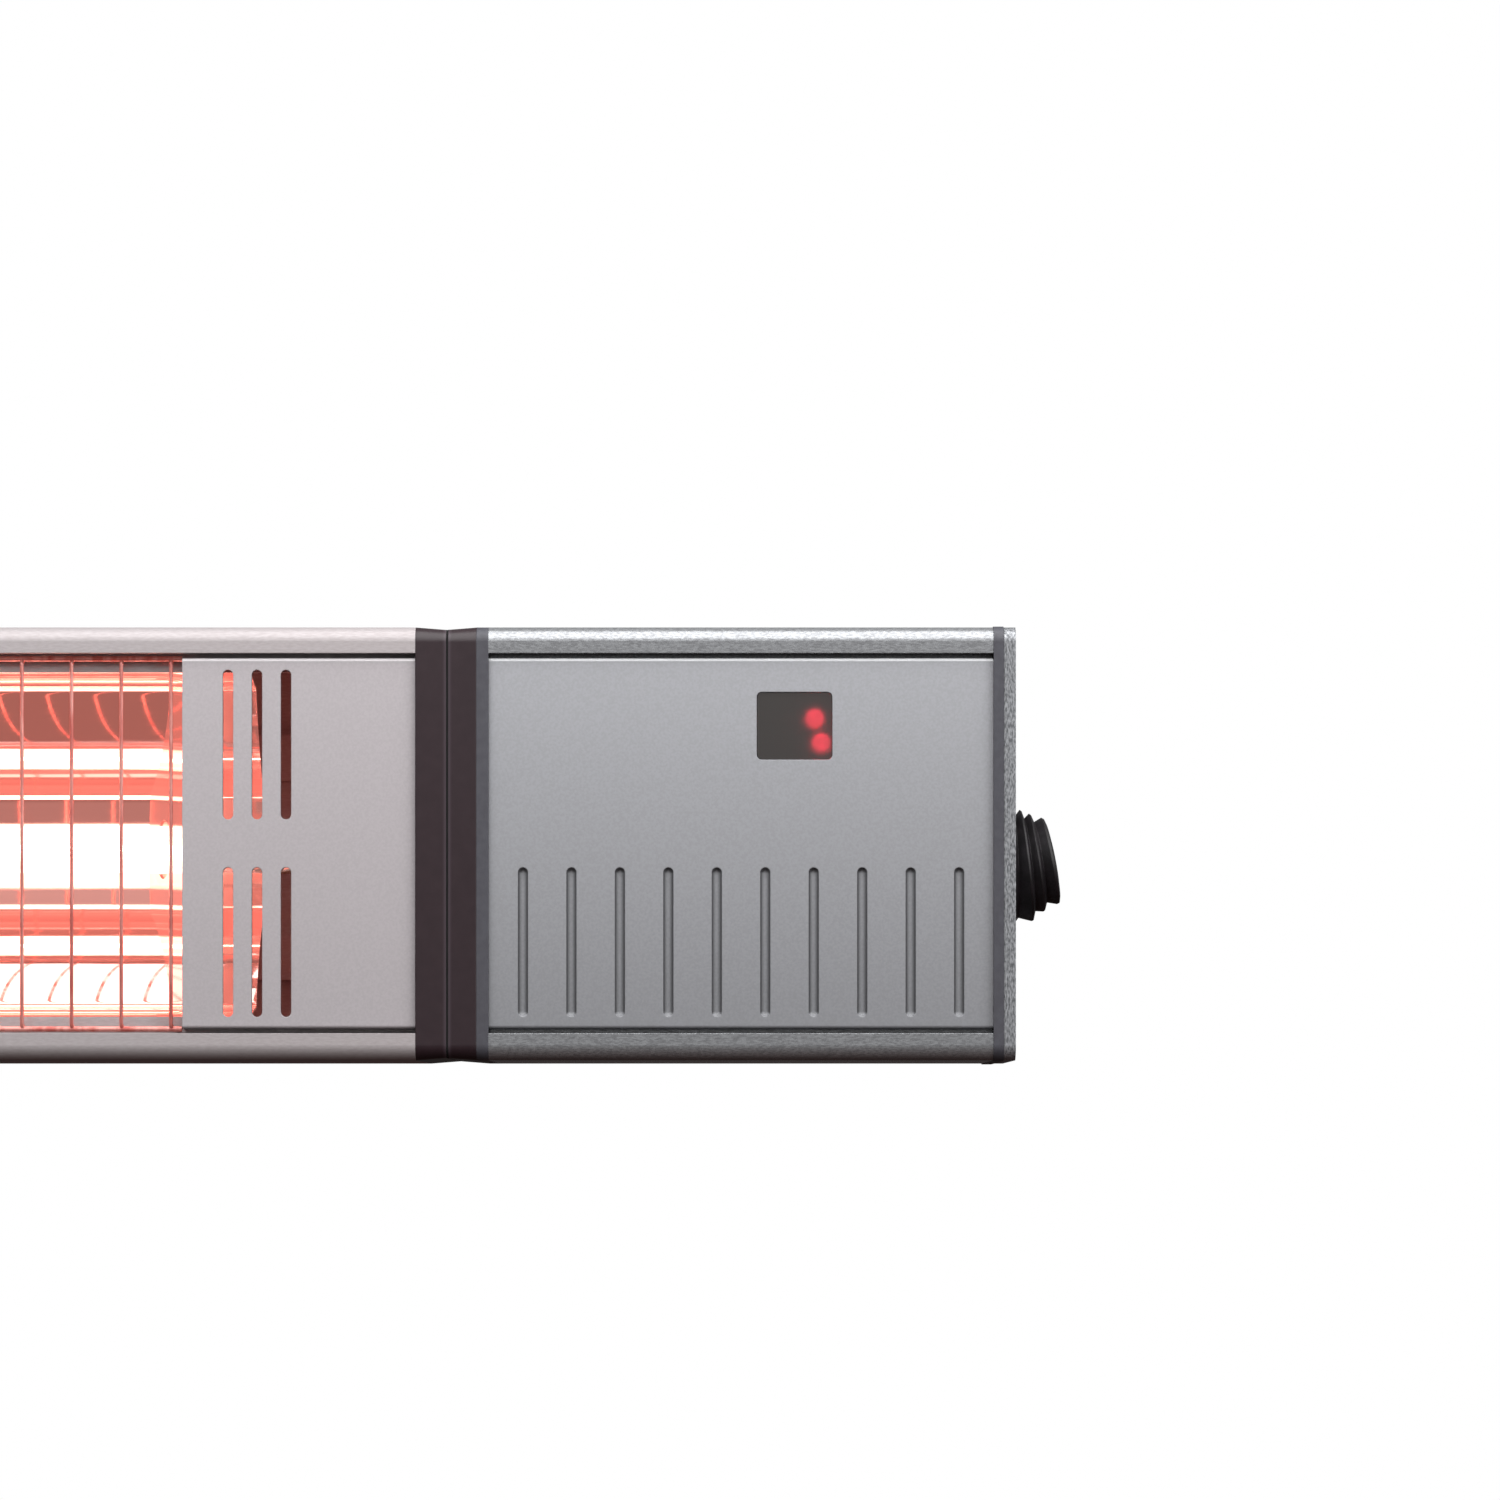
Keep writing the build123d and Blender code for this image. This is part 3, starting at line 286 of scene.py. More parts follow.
# ---- Casing ----
class HEATER_OT_casing(Operator):
    """Finish the housings, panels, rings, collars and end plates"""
    bl_idname = "heater.casing"
    bl_label = "Casing"

    def execute(self, context):
        # Extruded aluminium, silver coated: a satin skin whose lips catch one long highlight.
        give(grained("silver coated aluminium, satin", srgb("#B3ABAC"), srgb("#BBB4B5"), 0.6 * MM, 0.52,
                     metallic=0.3, stretch=(0.25, 1, 1)), "lamp_housing")
        # Extruded aluminium, clear coated: a brighter highlight and a fine grey grain drawn along it.
        give(grained("clear coated aluminium, brushed", srgb("#8F9093"), srgb("#B2B4B7"), 0.4 * MM, 0.28,
                     metallic=0.6, stretch=(0.3, 1, 1)), "control_housing")
        # Powder coat, sprayed: a fine orange-peel skin with a warm grey tone, a painted highlight along its
        # top edge, and painted shade in its grooves and towards its foot.
        give(panel_coat("warm grey powder coat, sprayed", srgb("#B6B0B3"), srgb("#BCB6B9"), srgb("#F2EEF0"),
                        0.9), "cover_panel_left", "cover_panel_right")
        # Powder coat, sprayed: the same skin in a cooler grey, with the same painted highlight and painted
        # shade, deeper towards its foot.
        give(panel_coat("cool grey powder coat, sprayed", srgb("#A6A7AB"), srgb("#ADAEB3"), srgb("#EEF0F2"),
                        0.66), "control_panel")
        # Nylon, moulded matt: even dark grey rings that frame the ends.
        give(grained("grey nylon, moulded", srgb("#48474E"), srgb("#4E4E55"), 3 * MM, 0.5),
             "end_ring_left", "end_ring_right", "joint_ring")
        # Nylon, moulded satin: almost black with a soft highlight along the front edge, and a painted shade
        # line with a painted highlight rim where the two collars meet.
        give(self.nylon_with_painted_seam(), "collar_lamp_side", "collar_box_side")
        # Cast aluminium, clear coated: pale and dark grains drawn out along the casting.
        give(grained("cast aluminium, clear coated", srgb("#6B6D70"), srgb("#B4B6BA"), 0.5 * MM, 0.4,
                     0.5 * MM, 0.15 * MM, 0.6 * MM, 0.5, (1, 1, 0.3), 0.12, 0.5),
             "end_plate_left", "end_plate_right")
        # Zinc plate, bright: small points of shine in the end plates.
        give(grained("zinc plate, bright", srgb("#8E9196"), srgb("#A9ACB1"), 3 * MM, 0.3, metallic=1.0),
             "end_screws_left", "end_screws_right", "joint_studs")
        return {"FINISHED"}

    def nylon_with_painted_seam(self):
        """The collars' finish: a painted shade line with a painted highlight rim either side, where the two
        collars meet.
        """
        nylon, tree, shader, place = new_finish("black nylon, satin moulded", srgb("#2E2328"), 0.36)
        along = add_node(tree, "ShaderNodeSeparateXYZ", {"Vector": place}).outputs["X"]
        joint = high("collar_lamp_side").x
        offset = add_node(tree, "ShaderNodeMath", {0: along, 1: joint}, operation="SUBTRACT").outputs[0]
        distance = add_node(tree, "ShaderNodeMath", {0: offset}, operation="ABSOLUTE").outputs[0]
        cloud = add_node(tree, "ShaderNodeTexNoise", {"Vector": place, "Scale": 1 / (4 * MM)}).outputs["Fac"]
        tone = add_node(tree, "ShaderNodeMix", {0: cloud, 6: srgb("#291C21"), 7: srgb("#34262B")},
                        data_type="RGBA").outputs[2]
        # Painted highlight: a paler band beside the joint, where the collars' rounded edges would catch the
        # light.
        rim = add_node(tree, "ShaderNodeMapRange",
                       {"Value": distance, "From Min": 0.5 * MM, "From Max": 1.6 * MM}).outputs[0]
        pale = add_node(tree, "ShaderNodeMix", {0: rim, 6: srgb("#463A41"), 7: tone},
                        data_type="RGBA").outputs[2]
        # Painted shade: a near-black line at the joint, standing in for the shade in a gap between the
        # collars.
        clear = add_node(tree, "ShaderNodeMapRange",
                         {"Value": distance, "From Min": 0.3 * MM, "From Max": 0.5 * MM}).outputs[0]
        painted_seam_shade = add_node(tree, "ShaderNodeMix", {0: clear, 6: srgb("#050304"), 7: pale},
                        data_type="RGBA").outputs[2]
        tree.links.new(painted_seam_shade, shader.inputs["Base Color"])
        gloss = add_node(tree, "ShaderNodeMapRange",
                         {"Value": clear, "To Min": 0.9, "To Max": 0.36}).outputs[0]
        tree.links.new(gloss, shader.inputs["Roughness"])
        rounded = add_node(tree, "ShaderNodeBevel", {"Radius": 0.8 * MM}, samples=4).outputs[0]
        tree.links.new(rounded, shader.inputs["Normal"])
        return nylon


# ---- Lamp ----
class HEATER_OT_lamp(Operator):
    """Make the hollow quartz tube with its pressed seals and the coiled filament inside it"""
    bl_idname = "heater.lamp"
    bl_label = "Lamp"

    def execute(self, context):
        self.make_tube(context.scene.heater_colours)
        self.make_filament(context.scene.heater_colours, context.scene.heater_sizes)
        # Steatite ceramic, fired: chalky off-white, browned by the heat.
        give(grained("steatite ceramic, fired", srgb("#B09A84"), srgb("#DDD4C6"), 9 * MM, 0.6, 0.8 * MM,
                     0.1 * MM), "lamp_cap_left", "lamp_cap_right", "lamp_holder_left", "lamp_holder_right")
        # Zinc plate, heat dulled: a brownish cloud over a dull shine, with a painted red glow standing in for
        # the lamp's light on it.
        give(grained("zinc plate, heat dulled", srgb("#85776F"), srgb("#A89C94"), 6 * MM, 0.38, metallic=1.0,
                     Emission_Color=srgb("#C8504A"), Emission_Strength=0.35),
             "lamp_bracket_left", "lamp_bracket_right")
        # Glass fibre, braided: short pale and darker flecks where the yarns cross.
        give(grained("glass fibre, braided", srgb("#9C9382"), srgb("#D6CFC0"), 0.5 * MM, 0.7, 0.5 * MM,
                     0.2 * MM, stretch=(0.4, 1, 1), strength=0.6), "lamp_lead_left", "lamp_lead_right")
        return {"FINISHED"}

    def make_tube(self, colours):
        """An outer and an inner surface of revolution; the outer one is pressed flat at both seals."""
        wall, end, seal = 1.2 * MM, 34 * MM, 14 * MM
        left, right = WINDOW_LEFT - end, WINDOW_RIGHT + end
        reach = np.array([0, 0.02, 11, 14, 15.5, 18.5, 21]) * MM
        across = np.array([0, 1.5, 1.5, 3.2, 5.6, 7.4, 8]) * MM
        up = np.array([0, 5.5, 5.5, 6.0, 6.9, 7.7, 8]) * MM
        power = np.array([6, 6, 6, 3.2, 2.3, 2, 2])
        half = np.stack([across, up, power], 1)
        stations = np.concatenate([left - seal + reach, (right + seal - reach)[::-1]])
        outer = turned_along_x(stations, np.concatenate([half, half[::-1]]))
        dome = np.linspace(0, np.pi / 2, 7)
        inner_radius = LAMP_RADIUS - wall
        bulge = inner_radius * np.sin(dome)
        inner_left, inner_right = left + 3 * wall, right - 3 * wall
        rounding = inner_radius * (1 - np.cos(dome)) * 0.5
        inner_x = np.concatenate([inner_left + rounding, (inner_right - rounding)[::-1]])
        radii = np.concatenate([bulge, bulge[::-1]])
        inner = turned_along_x(inner_x, np.stack([radii, radii, np.full_like(radii, 2)], 1))[:, ::-1]
        # Fused quartz, gold coated: clear and glowing, palest along the lit length and dim at the seals.
        glow = (*colours.glow_colour, 1.0)
        quartz, tree, shader, place = new_finish("fused quartz, gold coated", srgb("#FFF1EE"), 0.03, 0.0,
                                                 Transmission_Weight=1.0, IOR=1.46, Emission_Color=glow)
        along = add_node(tree, "ShaderNodeSeparateXYZ", {"Vector": place}).outputs["X"]
        distance = add_node(tree, "ShaderNodeMath",
                            {0: along, 1: (WINDOW_LEFT + WINDOW_RIGHT) / 2}, operation="SUBTRACT").outputs[0]
        off_centre = add_node(tree, "ShaderNodeMath", {0: distance}, operation="ABSOLUTE").outputs[0]
        half_window = (WINDOW_RIGHT - WINDOW_LEFT) / 2
        level = add_node(tree, "ShaderNodeMapRange",
                         {"Value": off_centre, "From Min": half_window - 4 * MM,
                          "From Max": half_window + 6 * MM, "To Min": colours.tube_glow, "To Max": 0.06})
        tree.links.new(level.outputs[0], shader.inputs["Emission Strength"])
        make_piece("quartz_tube_clear", [(outer, False), (inner, False)], quartz, "heater",
                   ["quartz_tube"])

    def make_filament(self, colours, sizes):
        """A helix along the lamp's axis, with a straight pin at each end."""
        # Tungsten, drawn and coiled: white hot.
        tungsten, tree, shader, place = new_finish("tungsten, coiled", srgb("#FFF0E0"), 0.4, 0.0,
                                                   Emission_Color=srgb("#FFDCD0"))
        drift = add_node(tree, "ShaderNodeTexNoise", {"Vector": place, "Scale": 1 / (30 * MM)}).outputs["Fac"]
        level = add_node(tree, "ShaderNodeMapRange",
                         {"Value": drift, "From Min": 0.3, "From Max": 0.7,
                          "To Min": colours.coil_glow * 0.9, "To Max": colours.coil_glow * 1.1}).outputs[0]
        tree.links.new(level, shader.inputs["Emission Strength"])
        x = np.arange(WINDOW_LEFT, WINDOW_RIGHT, sizes.coil_pitch / 12)
        turn = 2 * np.pi * (x - x[0]) / sizes.coil_pitch
        radius = high("filament").z - sizes.coil_wire
        helix = np.stack([x, LAMP_Y + radius * np.cos(turn), radius * np.sin(turn)], 1)
        pins = []
        for start, end in ((low("filament").x, WINDOW_LEFT), (WINDOW_RIGHT, high("filament").x)):
            line = np.linspace(start, end, 4)
            path = np.stack([line, np.full_like(line, LAMP_Y), np.zeros_like(line)], 1)
            pins.append((tube_along(path, 0.45 * MM), False))
        make_piece("filament_coil", [(tube_along(helix, sizes.coil_wire, 6), False), *pins], tungsten,
                   "heater", ["filament"], 80)


# ---- Reflector ----
class HEATER_OT_reflector(Operator):
    """Make the rolled trough with its rounded bends, and finish its two leaning ends"""
    bl_idname = "heater.reflector"
    bl_label = "Reflector"

    def execute(self, context):
        sizes = context.scene.heater_sizes
        # Bright-rolled aluminium, polished: a near mirror whose pink tint and faint red glow are painted
        # light standing in for the lamp's light on it.
        bright, tree, shader, place = new_finish("bright aluminium, rolled", srgb("#EDB4AA"), 0.08, 1.0,
                                                 Emission_Color=srgb("#EE8C7E"), Emission_Strength=0.4)
        drawn = add_node(tree, "ShaderNodeMapping", {"Vector": place, "Scale": (0.02, 1, 1)}).outputs[0]
        lines = add_node(tree, "ShaderNodeTexNoise",
                         {"Vector": drawn, "Scale": 1 / (1.2 * MM), "Detail": 2.0}).outputs["Fac"]
        gloss = add_node(tree, "ShaderNodeMapRange",
                         {"Value": lines, "From Min": 0.3, "From Max": 0.7, "To Min": 0.03, "To Max": 0.1})
        tree.links.new(gloss.outputs[0], shader.inputs["Roughness"])
        bump = add_node(tree, "ShaderNodeBump", {"Height": lines, "Strength": 0.06, "Distance": 0.1 * MM})
        tree.links.new(bump.outputs[0], shader.inputs["Normal"])
        give(bright, "end_reflector_left", "end_reflector_right")
        inner, outer = self.section(sizes)
        loop = np.concatenate([inner, outer[::-1]])
        edge = (loop + loop[::-1]) / 2
        left, right = low("reflector").x, high("reflector").x
        stations = np.array([left, left, right, right])
        profile = np.stack([edge, loop, loop, edge])
        x = np.broadcast_to(stations[:, None, None], (*profile.shape[:2], 1))
        make_piece("reflector_trough", [(np.concatenate([x, profile], -1), False)], bright, "heater",
                   ["reflector"])
        return {"FINISHED"}

    def section(self, sizes):
        """Inner and outer (y, z) lines of the sheet, from the upper flange to the lower one.

        Straight and bowed stretches are sampled evenly, a bow being 4 t (1 - t) times its height, and a
        moving average along the line then rounds the bends. The outer line stands off by the sheet.
        """
        sheet, step = 0.8 * MM, 0.4 * MM
        flange = high("reflector").z
        rim, corner, knee, back = (np.array(place) * MM for place in
                                   ((10, 59.4), (29.0, 54.2), (57.4, 19.8), (59.0, 0)))
        stretches = [(np.array([rim[0], flange]), rim, 0.0), (rim, corner, sizes.wall_bow),
                     (corner, knee, sizes.facet_bow), (knee, back, 0.0)]
        upper = []
        for start, end, bow in stretches:
            run = end - start
            length = np.hypot(*run)
            t = np.arange(0, 1, step / length)[:, None]
            inward = np.array([run[1], -run[0]]) / length
            upper.append(start + t * run + 4 * t * (1 - t) * bow * np.sign(inward @ [0.3, -1]) * inward)
        upper = np.concatenate([*upper, back[None]])
        line = np.concatenate([upper, upper[-2::-1] * [1, -1]])
        count = int(sizes.corner_rounding / step) | 1
        padded = np.pad(line, ((count // 2, count // 2), (0, 0)), mode="edge")
        inner = np.stack([np.convolve(padded[:, axis], np.full(count, 1 / count), "valid")
                          for axis in (0, 1)], 1)
        inner[[0, -1]] = line[[0, -1]]
        run = np.gradient(inner, axis=0)
        run /= np.linalg.norm(run, axis=1, keepdims=True)
        outer = inner + sheet * np.stack([-run[:, 1], run[:, 0]], 1)
        return inner + [FRONT, 0], outer + [FRONT, 0]


# ---- Guard ----
class HEATER_OT_guard(Operator):
    """Make the upright wires, each bent back round both rails"""
    bl_idname = "heater.guard"
    bl_label = "Guard"

    def execute(self, context):
        # Steel wire, drawn: a soft shine along it; its rose colour and faint red glow are painted light
        # standing in for the lamp's light on it.
        steel = grained("steel wire, drawn", srgb("#B8655E"), srgb("#D89A92"), 3 * MM, 0.4,
                        relief=0.01 * MM, metallic=0.5, stretch=(1, 1, 0.2),
                        Emission_Color=srgb("#D8685C"), Emission_Strength=0.1)
        give(steel, "guard_rails")
        wire_count, rail_depth = 25, 5 * MM
        box_low, box_high = low("guard_wires"), high("guard_wires")
        radius = (box_high.y - box_low.y) / 2
        wire_y, rail_y = box_low.y + radius, FRONT + rail_depth
        places = np.linspace(box_low.x + radius, box_high.x - radius, wire_count)
        bend = np.radians(np.linspace(-90, 60, 9))
        reach = rail_y - wire_y
        rail_z = box_high.z - reach - radius
        top = np.stack([np.zeros_like(bend), rail_y + reach * np.sin(bend), rail_z + reach * np.cos(bend)], 1)
        path = np.concatenate([top[::-1], top * [1, 1, -1]])
        wires = [(tube_along(path + [x, 0, 0], radius, 10), False) for x in places]
        make_piece("guard_wires_hooked", wires, steel, "heater", ["guard_wires"], 60)
        return {"FINISHED"}


# ---- Gland ----
class HEATER_OT_gland(Operator):
    """Make the ribbed rubber boot, and finish the gland that it covers"""
    bl_idname = "heater.gland"
    bl_label = "Cable gland"

    def execute(self, context):
        # Rubber, moulded: deep black with a dull bloom on the ribs.
        rubber = grained("black rubber, moulded", srgb("#110D10"), srgb("#1F1A1E"), 4 * MM, 0.45, 0.6 * MM,
                         0.08 * MM)
        gland_y = (low("cable_boot").y + high("cable_boot").y) / 2
        gland_z = (low("gland_body").z + high("gland_body").z) / 2
        # Each row is a station on the outline: reach, radius, rise and tilt in degrees.
        outline = np.array([
            (0.0, 5.5, 0.0, 0.0), (0.0, 19.6, 0.0, 0.0), (1.1, 19.9, 0.0, 0.5), (2.6, 17.3, 0.3, 2.5),
            (5.8, 19.2, 1.0, 6.4), (6.4, 18.9, 1.0, 6.6), (7.2, 16.0, 1.2, 7.2), (9.4, 17.0, 2.0, 8.5),
            (10.0, 16.6, 2.0, 8.7), (10.9, 14.0, 2.1, 9.4), (13.9, 15.1, 2.6, 10.7), (14.7, 14.7, 2.6, 10.9),
            (15.2, 13.0, 2.6, 10.9), (15.6, 9.2, 2.6, 10.9), (15.8, 6.0, 2.6, 10.9), (15.5, 5.5, 2.6, 10.9),
            (7.1, 5.5, 1.2, 6.0), (0.0, 5.5, 0.0, 0.0)])
        reach, radius, rise = (outline[:, column, None] * MM for column in range(3))
        tilt = np.radians(outline[:, 3, None])
        angle = np.linspace(0, 2 * np.pi, 64, endpoint=False)[None]
        lift = radius * np.cos(angle)
        points = np.stack([PLATE_FACE + reach - lift * np.sin(tilt), gland_y + radius * np.sin(angle),
                           gland_z + rise + lift * np.cos(tilt)], -1)
        points[..., 0] = np.maximum(points[..., 0], PLATE_FACE)
        make_piece("cable_boot_ribbed", [(points, False)], rubber, "heater", ["cable_boot"])
        # Nylon, moulded: matt black.
        give(grained("black nylon, matt moulded", srgb("#19191B"), srgb("#202022"), 4 * MM, 0.45),
             "gland_body", "gland_nut")
        return {"FINISHED"}


# ---- Display ----
class HEATER_OT_display(Operator):
    """Finish the smoked lens, its lights and the board behind them"""
    bl_idname = "heater.display"
    bl_label = "Display"

    def execute(self, context):
        colours = context.scene.heater_colours
        # Acrylic, smoked and lightly frosted: dark, and it blurs the lights behind it.
        lens, tree, shader, place = new_finish("smoked acrylic, frosted", srgb("#5A5654"), 0.42, 0.0,
                                               Transmission_Weight=0.62, IOR=1.49)
        frost = add_node(tree, "ShaderNodeTexNoise",
                         {"Vector": place, "Scale": 1 / (0.5 * MM)}).outputs["Fac"]
        gloss = add_node(tree, "ShaderNodeMapRange",
                         {"Value": frost, "From Min": 0.3, "From Max": 0.7, "To Min": 0.38, "To Max": 0.46})
        tree.links.new(gloss.outputs[0], shader.inputs["Roughness"])
        give(lens, "display_lens")
        # Epoxy, cast and lit: an even red.
        lit, tree, shader, place = new_finish("red epoxy, lit", srgb("#FF4058"), 0.3, 0.0,
                                              Emission_Color=srgb("#FF3850"))
        core = add_node(tree, "ShaderNodeTexNoise", {"Vector": place, "Scale": 1 / (4 * MM)}).outputs["Fac"]
        level = add_node(tree, "ShaderNodeMapRange",
                         {"Value": core, "From Min": 0.3, "From Max": 0.7,
                          "To Min": colours.display_glow * 0.8, "To Max": colours.display_glow * 1.2})
        tree.links.new(level.outputs[0], shader.inputs["Emission Strength"])
        give(lit, "display_leds")
        # Acrylic, moulded glossy: a black window for infrared light.
        give(grained("black acrylic, glossy", srgb("#120E14"), srgb("#18121A"), 5 * MM, 0.12),
             "infrared_receiver")
        # Nylon, moulded matt: swallows the light round the display.
        give(grained("black nylon, fine grain", srgb("#141416"), srgb("#1B1B1E"), 4 * MM, 0.6),
             "display_frame", "terminal_block")
        # Solder mask over copper tracks: straight-sided lighter patches in glossy green.
        board, tree, shader, place = new_finish("circuit board, solder mask", srgb("#12452A"), 0.3, 0.0,
                                                Coat_Weight=0.3)
        maze = add_node(tree, "ShaderNodeTexVoronoi", {"Vector": place, "Scale": 1 / (4 * MM)},
                        distance="MANHATTAN").outputs["Distance"]
        track = add_node(tree, "ShaderNodeMapRange",
                         {"Value": maze, "From Min": 0.3, "From Max": 0.34}).outputs[0]
        green = add_node(tree, "ShaderNodeMix", {0: track, 6: srgb("#12452A"), 7: srgb("#2A7349")},
                         data_type="RGBA").outputs[2]
        tree.links.new(green, shader.inputs["Base Color"])
        give(board, "display_board", "control_board")
        return {"FINISHED"}


# ---- Inside of the power box ----
class HEATER_OT_inside(Operator):
    """Finish the components on the control board"""
    bl_idname = "heater.inside"
    bl_label = "Inside"

    def execute(self, context):
        # Brass, nickel plated: clean and pale.
        give(grained("nickel plated brass, turned", srgb("#A19E96"), srgb("#B9B6AE"), 3 * MM, 0.28,
                     metallic=1.0), "board_standoffs")
        # Silicon steel, laminated and varnished: thin dark and lighter sheets on edge.
        give(grained("laminated steel, varnished", srgb("#26231F"), srgb("#4C463F"), 1 * MM, 0.4,
                     metallic=0.4, stretch=(0.02, 1, 0.02)), "transformer")
        # Vinyl sleeve, shrunk on: glossy blue.
        give(grained("blue vinyl, shrunk", srgb("#1E3B6C"), srgb("#274A86"), 8 * MM, 0.25), "power_relays",
             "capacitor")
        # Aluminium, mill finish: fine draw lines along the fins.
        give(grained("aluminium, mill finish", srgb("#B2B4B7"), srgb("#CDCFD1"), 0.8 * MM, 0.32, metallic=1.0,
                     stretch=(1, 1, 0.03)), "heat_sink")
        # Ceramic, glazed: clean off-white.
        give(grained("ceramic, glazed", srgb("#D8D2C6"), srgb("#E8E2D6"), 6 * MM, 0.25), "fuse_holder")
        return {"FINISHED"}


# ---- Wall bracket ----
class HEATER_OT_bracket(Operator):
    """Finish the wall plate, saddles, bolts, washers and clamp knobs"""
    bl_idname = "heater.bracket"
    bl_label = "Wall bracket"

    def execute(self, context):
        # Powder coat on pressed steel: a fine orange-peel skin.
        give(grained("grey powder coat, sprayed", srgb("#838589"), srgb("#8E9094"), 2.4 * MM, 0.45, 1.1 * MM,
                     0.12 * MM, 0.5 * MM), "wall_plate", "saddle_left", "saddle_right")
        # Zinc plate, passivated: a satin shine with faint clouds.
        give(grained("zinc plate, passivated", srgb("#93969B"), srgb("#A8ABB0"), 4 * MM, 0.32, metallic=1.0),
             "saddle_bolts", "saddle_nuts", "pivot_bolt_left", "pivot_bolt_right", "pivot_washers")
        # Nylon, moulded with a coarse spark grain: matt black grips.
        give(grained("black nylon, coarse grain", srgb("#18181A"), srgb("#242427"), 1.2 * MM, 0.5, 0.9 * MM,
                     0.15 * MM, 0.8 * MM), "clamp_knob_left", "clamp_knob_right")
        return {"FINISHED"}


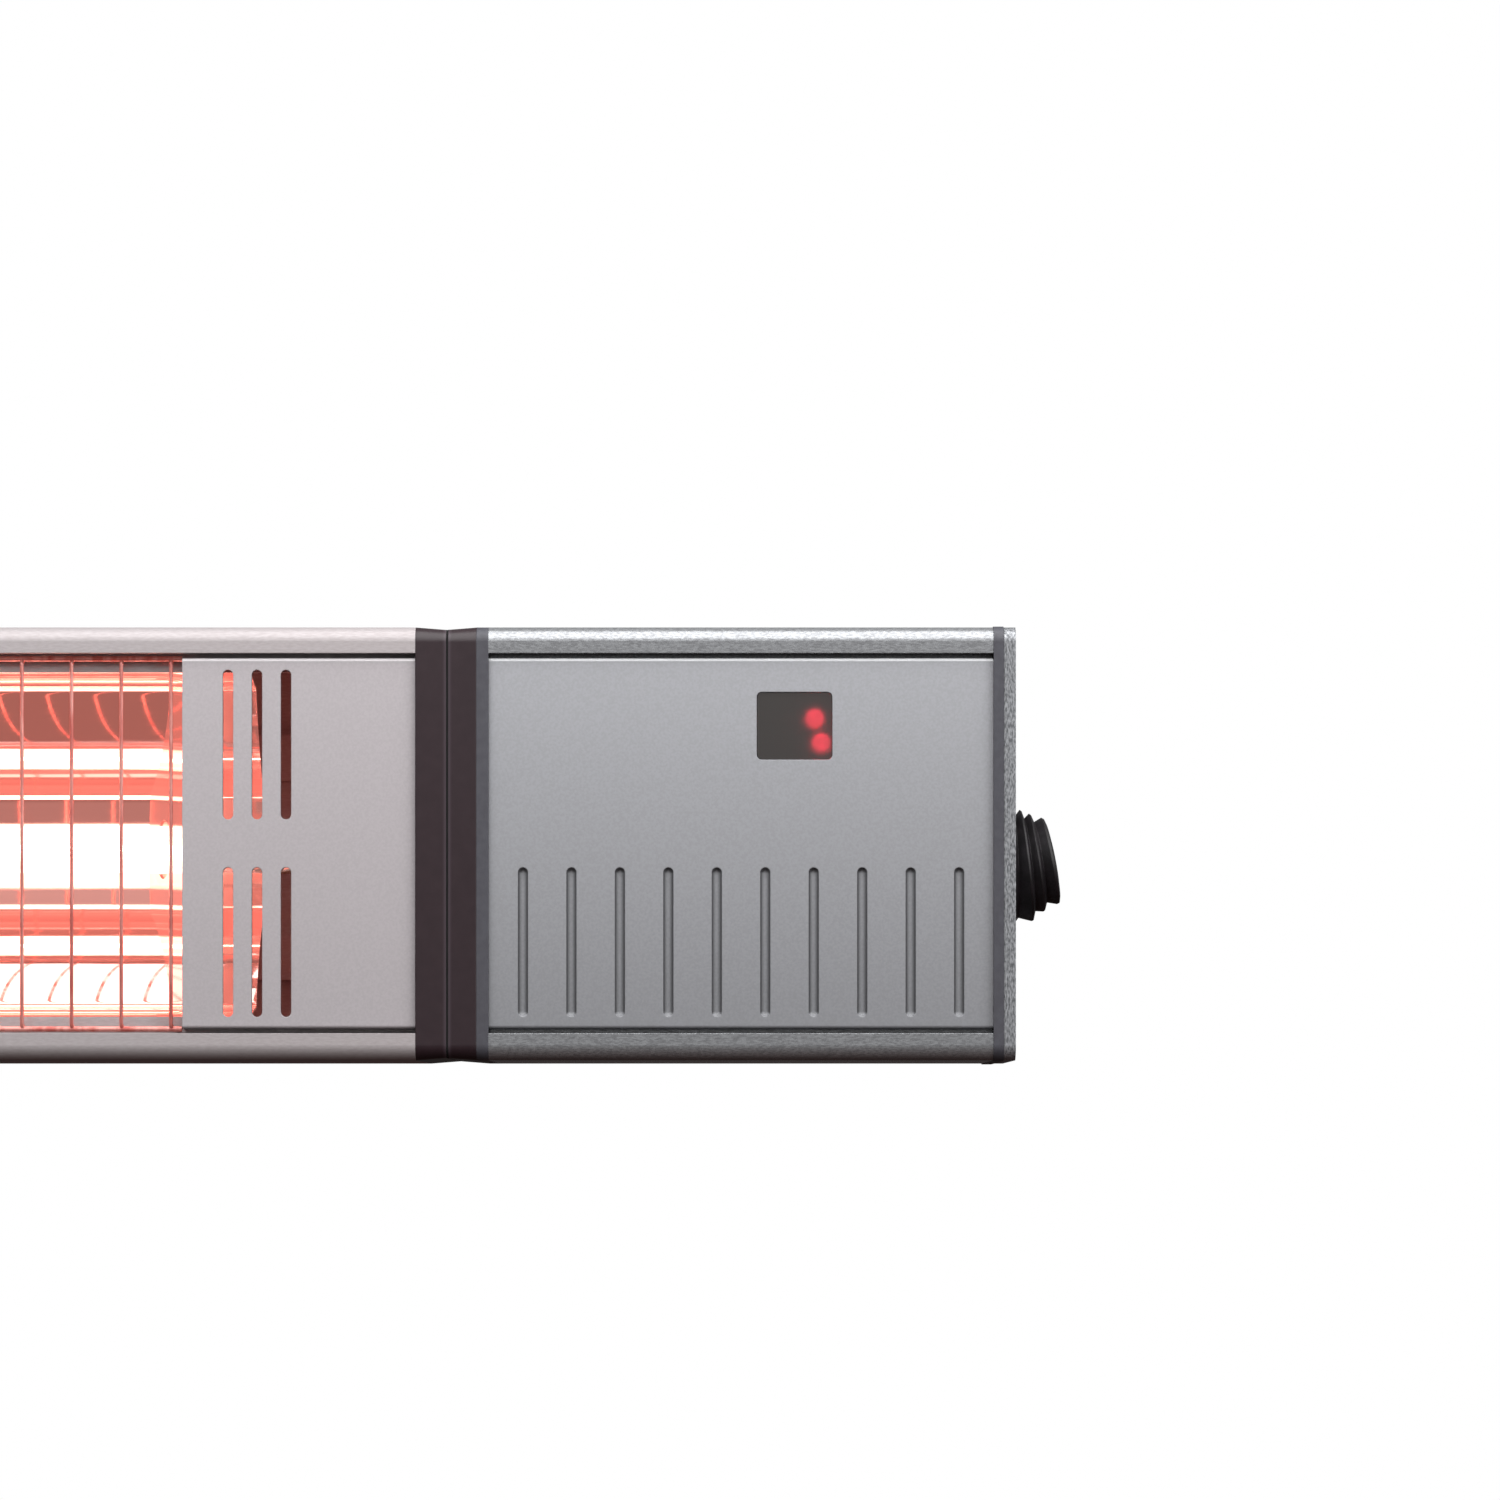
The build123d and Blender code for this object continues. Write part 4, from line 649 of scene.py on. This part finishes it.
# ---- Stage ----
class HEATER_OT_stage(Operator):
    """Set the pale floor, the soft lights, the white surroundings and the camera"""
    bl_idname = "heater.stage"
    bl_label = "Stage"

    def execute(self, context):
        scene = context.scene
        scene.view_settings.view_transform = "Standard"
        self.add_floor()
        self.set_surroundings(scene)
        target = Vector((0.15, FRONT, 0.0))
        # Each softbox: its name, its place from the target, its width and height, and its power in watts.
        for name, offset, width, height, power in (("top softbox", (0.1, -0.42, 0.66), 2.2, 0.9, 17),
                                                   ("side softbox", (1.7, -1.1, 0.35), 0.9, 0.9, 7)):
            self.add_softbox(name, target + Vector(offset), target, width, height, power)
        self.add_camera(scene)
        return {"FINISHED"}

    def add_floor(self):
        """A flat pale sheet well below the heater, left out of what the polished metal reflects."""
        side, height = 2.0, -0.5
        corners = [(-side, -side, height), (side, -side, height), (side, side, height), (-side, side, height)]
        # Studio paper, matt: pale grey with faint mottling.
        paper = grained("studio paper, matt", srgb("#E2E2E2"), srgb("#E8E8E8"), 0.2, 0.8, 0.02, 0.1 * MM)
        mesh = bpy.data.meshes.new("studio_floor")
        mesh.from_pydata(corners, [], [(0, 1, 2, 3)])
        mesh.materials.append(paper)
        floor = bpy.data.objects.new("studio_floor", mesh)
        floor.visible_glossy = False
        floor.visible_diffuse = False
        bpy.context.scene.collection.objects.link(floor)

    def set_surroundings(self, scene):
        """White where it is seen directly; as light, pale before the heater, dim behind it, rosy below."""
        world = bpy.data.worlds.new("white studio")
        world.use_nodes = True
        tree = world.node_tree
        tree.nodes.clear()
        direction = add_node(tree, "ShaderNodeTexCoord").outputs["Generated"]
        parts = add_node(tree, "ShaderNodeSeparateXYZ", {"Vector": direction})
        rise = add_node(tree, "ShaderNodeMapRange",
                        {"Value": parts.outputs["Z"], "From Min": -0.2, "From Max": 0.4,
                         "To Min": 0.1, "To Max": 0.58}).outputs[0]
        ahead = add_node(tree, "ShaderNodeMapRange",
                         {"Value": parts.outputs["Y"], "From Min": -0.2, "From Max": 0.5,
                          "To Min": 1.0, "To Max": 0.45}).outputs[0]
        level = add_node(tree, "ShaderNodeMath", {0: rise, 1: ahead}, operation="MULTIPLY").outputs[0]
        upward = add_node(tree, "ShaderNodeMapRange",
                          {"Value": parts.outputs["Z"], "From Min": -0.5, "From Max": 0.0}).outputs[0]
        tint = add_node(tree, "ShaderNodeMix", {0: upward, 6: srgb("#D8A8A0"), 7: (1, 1, 1, 1)},
                        data_type="RGBA").outputs[2]
        soft = add_node(tree, "ShaderNodeBackground", {"Color": tint, "Strength": level}).outputs[0]
        white = add_node(tree, "ShaderNodeBackground", {"Color": (1, 1, 1, 1), "Strength": 1.0}).outputs[0]
        seen = add_node(tree, "ShaderNodeLightPath").outputs["Is Camera Ray"]
        mix = add_node(tree, "ShaderNodeMixShader", {0: seen, 1: soft, 2: white}).outputs[0]
        add_node(tree, "ShaderNodeOutputWorld", {"Surface": mix})
        scene.world = world

    def add_softbox(self, name, place, target, width, height, power):
        """A soft rectangular light that faces the target."""
        light = bpy.data.lights.new(name, "AREA")
        light.shape = "RECTANGLE"
        light.size, light.size_y = width, height
        light.energy = power
        box = bpy.data.objects.new(name, light)
        box.location = place
        box.rotation_euler = (target - place).to_track_quat("-Z", "Y").to_euler()
        bpy.context.scene.collection.objects.link(box)

    def add_camera(self, scene):
        """A level long lens below the heater's middle, raised by its shift to keep uprights parallel."""
        distance, width, sensor = 1.65, 0.5009, 36
        centre_x, centre_z, height = 0.2967, 0.0311, -0.095
        lens = bpy.data.cameras.new("camera")
        lens.sensor_width = sensor
        lens.lens = sensor * distance / width
        lens.shift_y = (centre_z - height) / width
        camera = bpy.data.objects.new("camera", lens)
        camera.location = (centre_x, FRONT - distance, height)
        camera.rotation_euler = (math.radians(90), 0, 0)
        scene.collection.objects.link(camera)
        scene.camera = camera


OPERATORS = (HEATER_OT_casing, HEATER_OT_lamp, HEATER_OT_reflector, HEATER_OT_guard, HEATER_OT_gland,
             HEATER_OT_display, HEATER_OT_inside, HEATER_OT_bracket, HEATER_OT_stage)


class HEATER_PT_sidebar(Panel):
    """Lists the heater's pieces in the sidebar"""
    bl_label = "Infrared Strip Heater"
    bl_space_type = "VIEW_3D"
    bl_region_type = "UI"
    bl_category = "Heater"

    def draw(self, context):
        for group in (context.scene.heater_colours, context.scene.heater_sizes):
            for name in group.__annotations__:
                self.layout.prop(group, name)
        for operator in OPERATORS:
            self.layout.operator(operator.bl_idname)


CLASSES = (HeaterColours, HeaterSizes, *OPERATORS, HEATER_PT_sidebar)


def register():
    for item in CLASSES:
        bpy.utils.register_class(item)
    bpy.types.Scene.heater_colours = PointerProperty(type=HeaterColours)
    bpy.types.Scene.heater_sizes = PointerProperty(type=HeaterSizes)


def unregister():
    del bpy.types.Scene.heater_colours
    del bpy.types.Scene.heater_sizes
    for item in reversed(CLASSES):
        bpy.utils.unregister_class(item)


def main():
    register()
    bpy.ops.heater.casing()
    bpy.ops.heater.lamp()
    bpy.ops.heater.reflector()
    bpy.ops.heater.guard()
    bpy.ops.heater.gland()
    bpy.ops.heater.display()
    bpy.ops.heater.inside()
    bpy.ops.heater.bracket()
    bpy.ops.heater.stage()


if __name__ == "__main__":
    main()
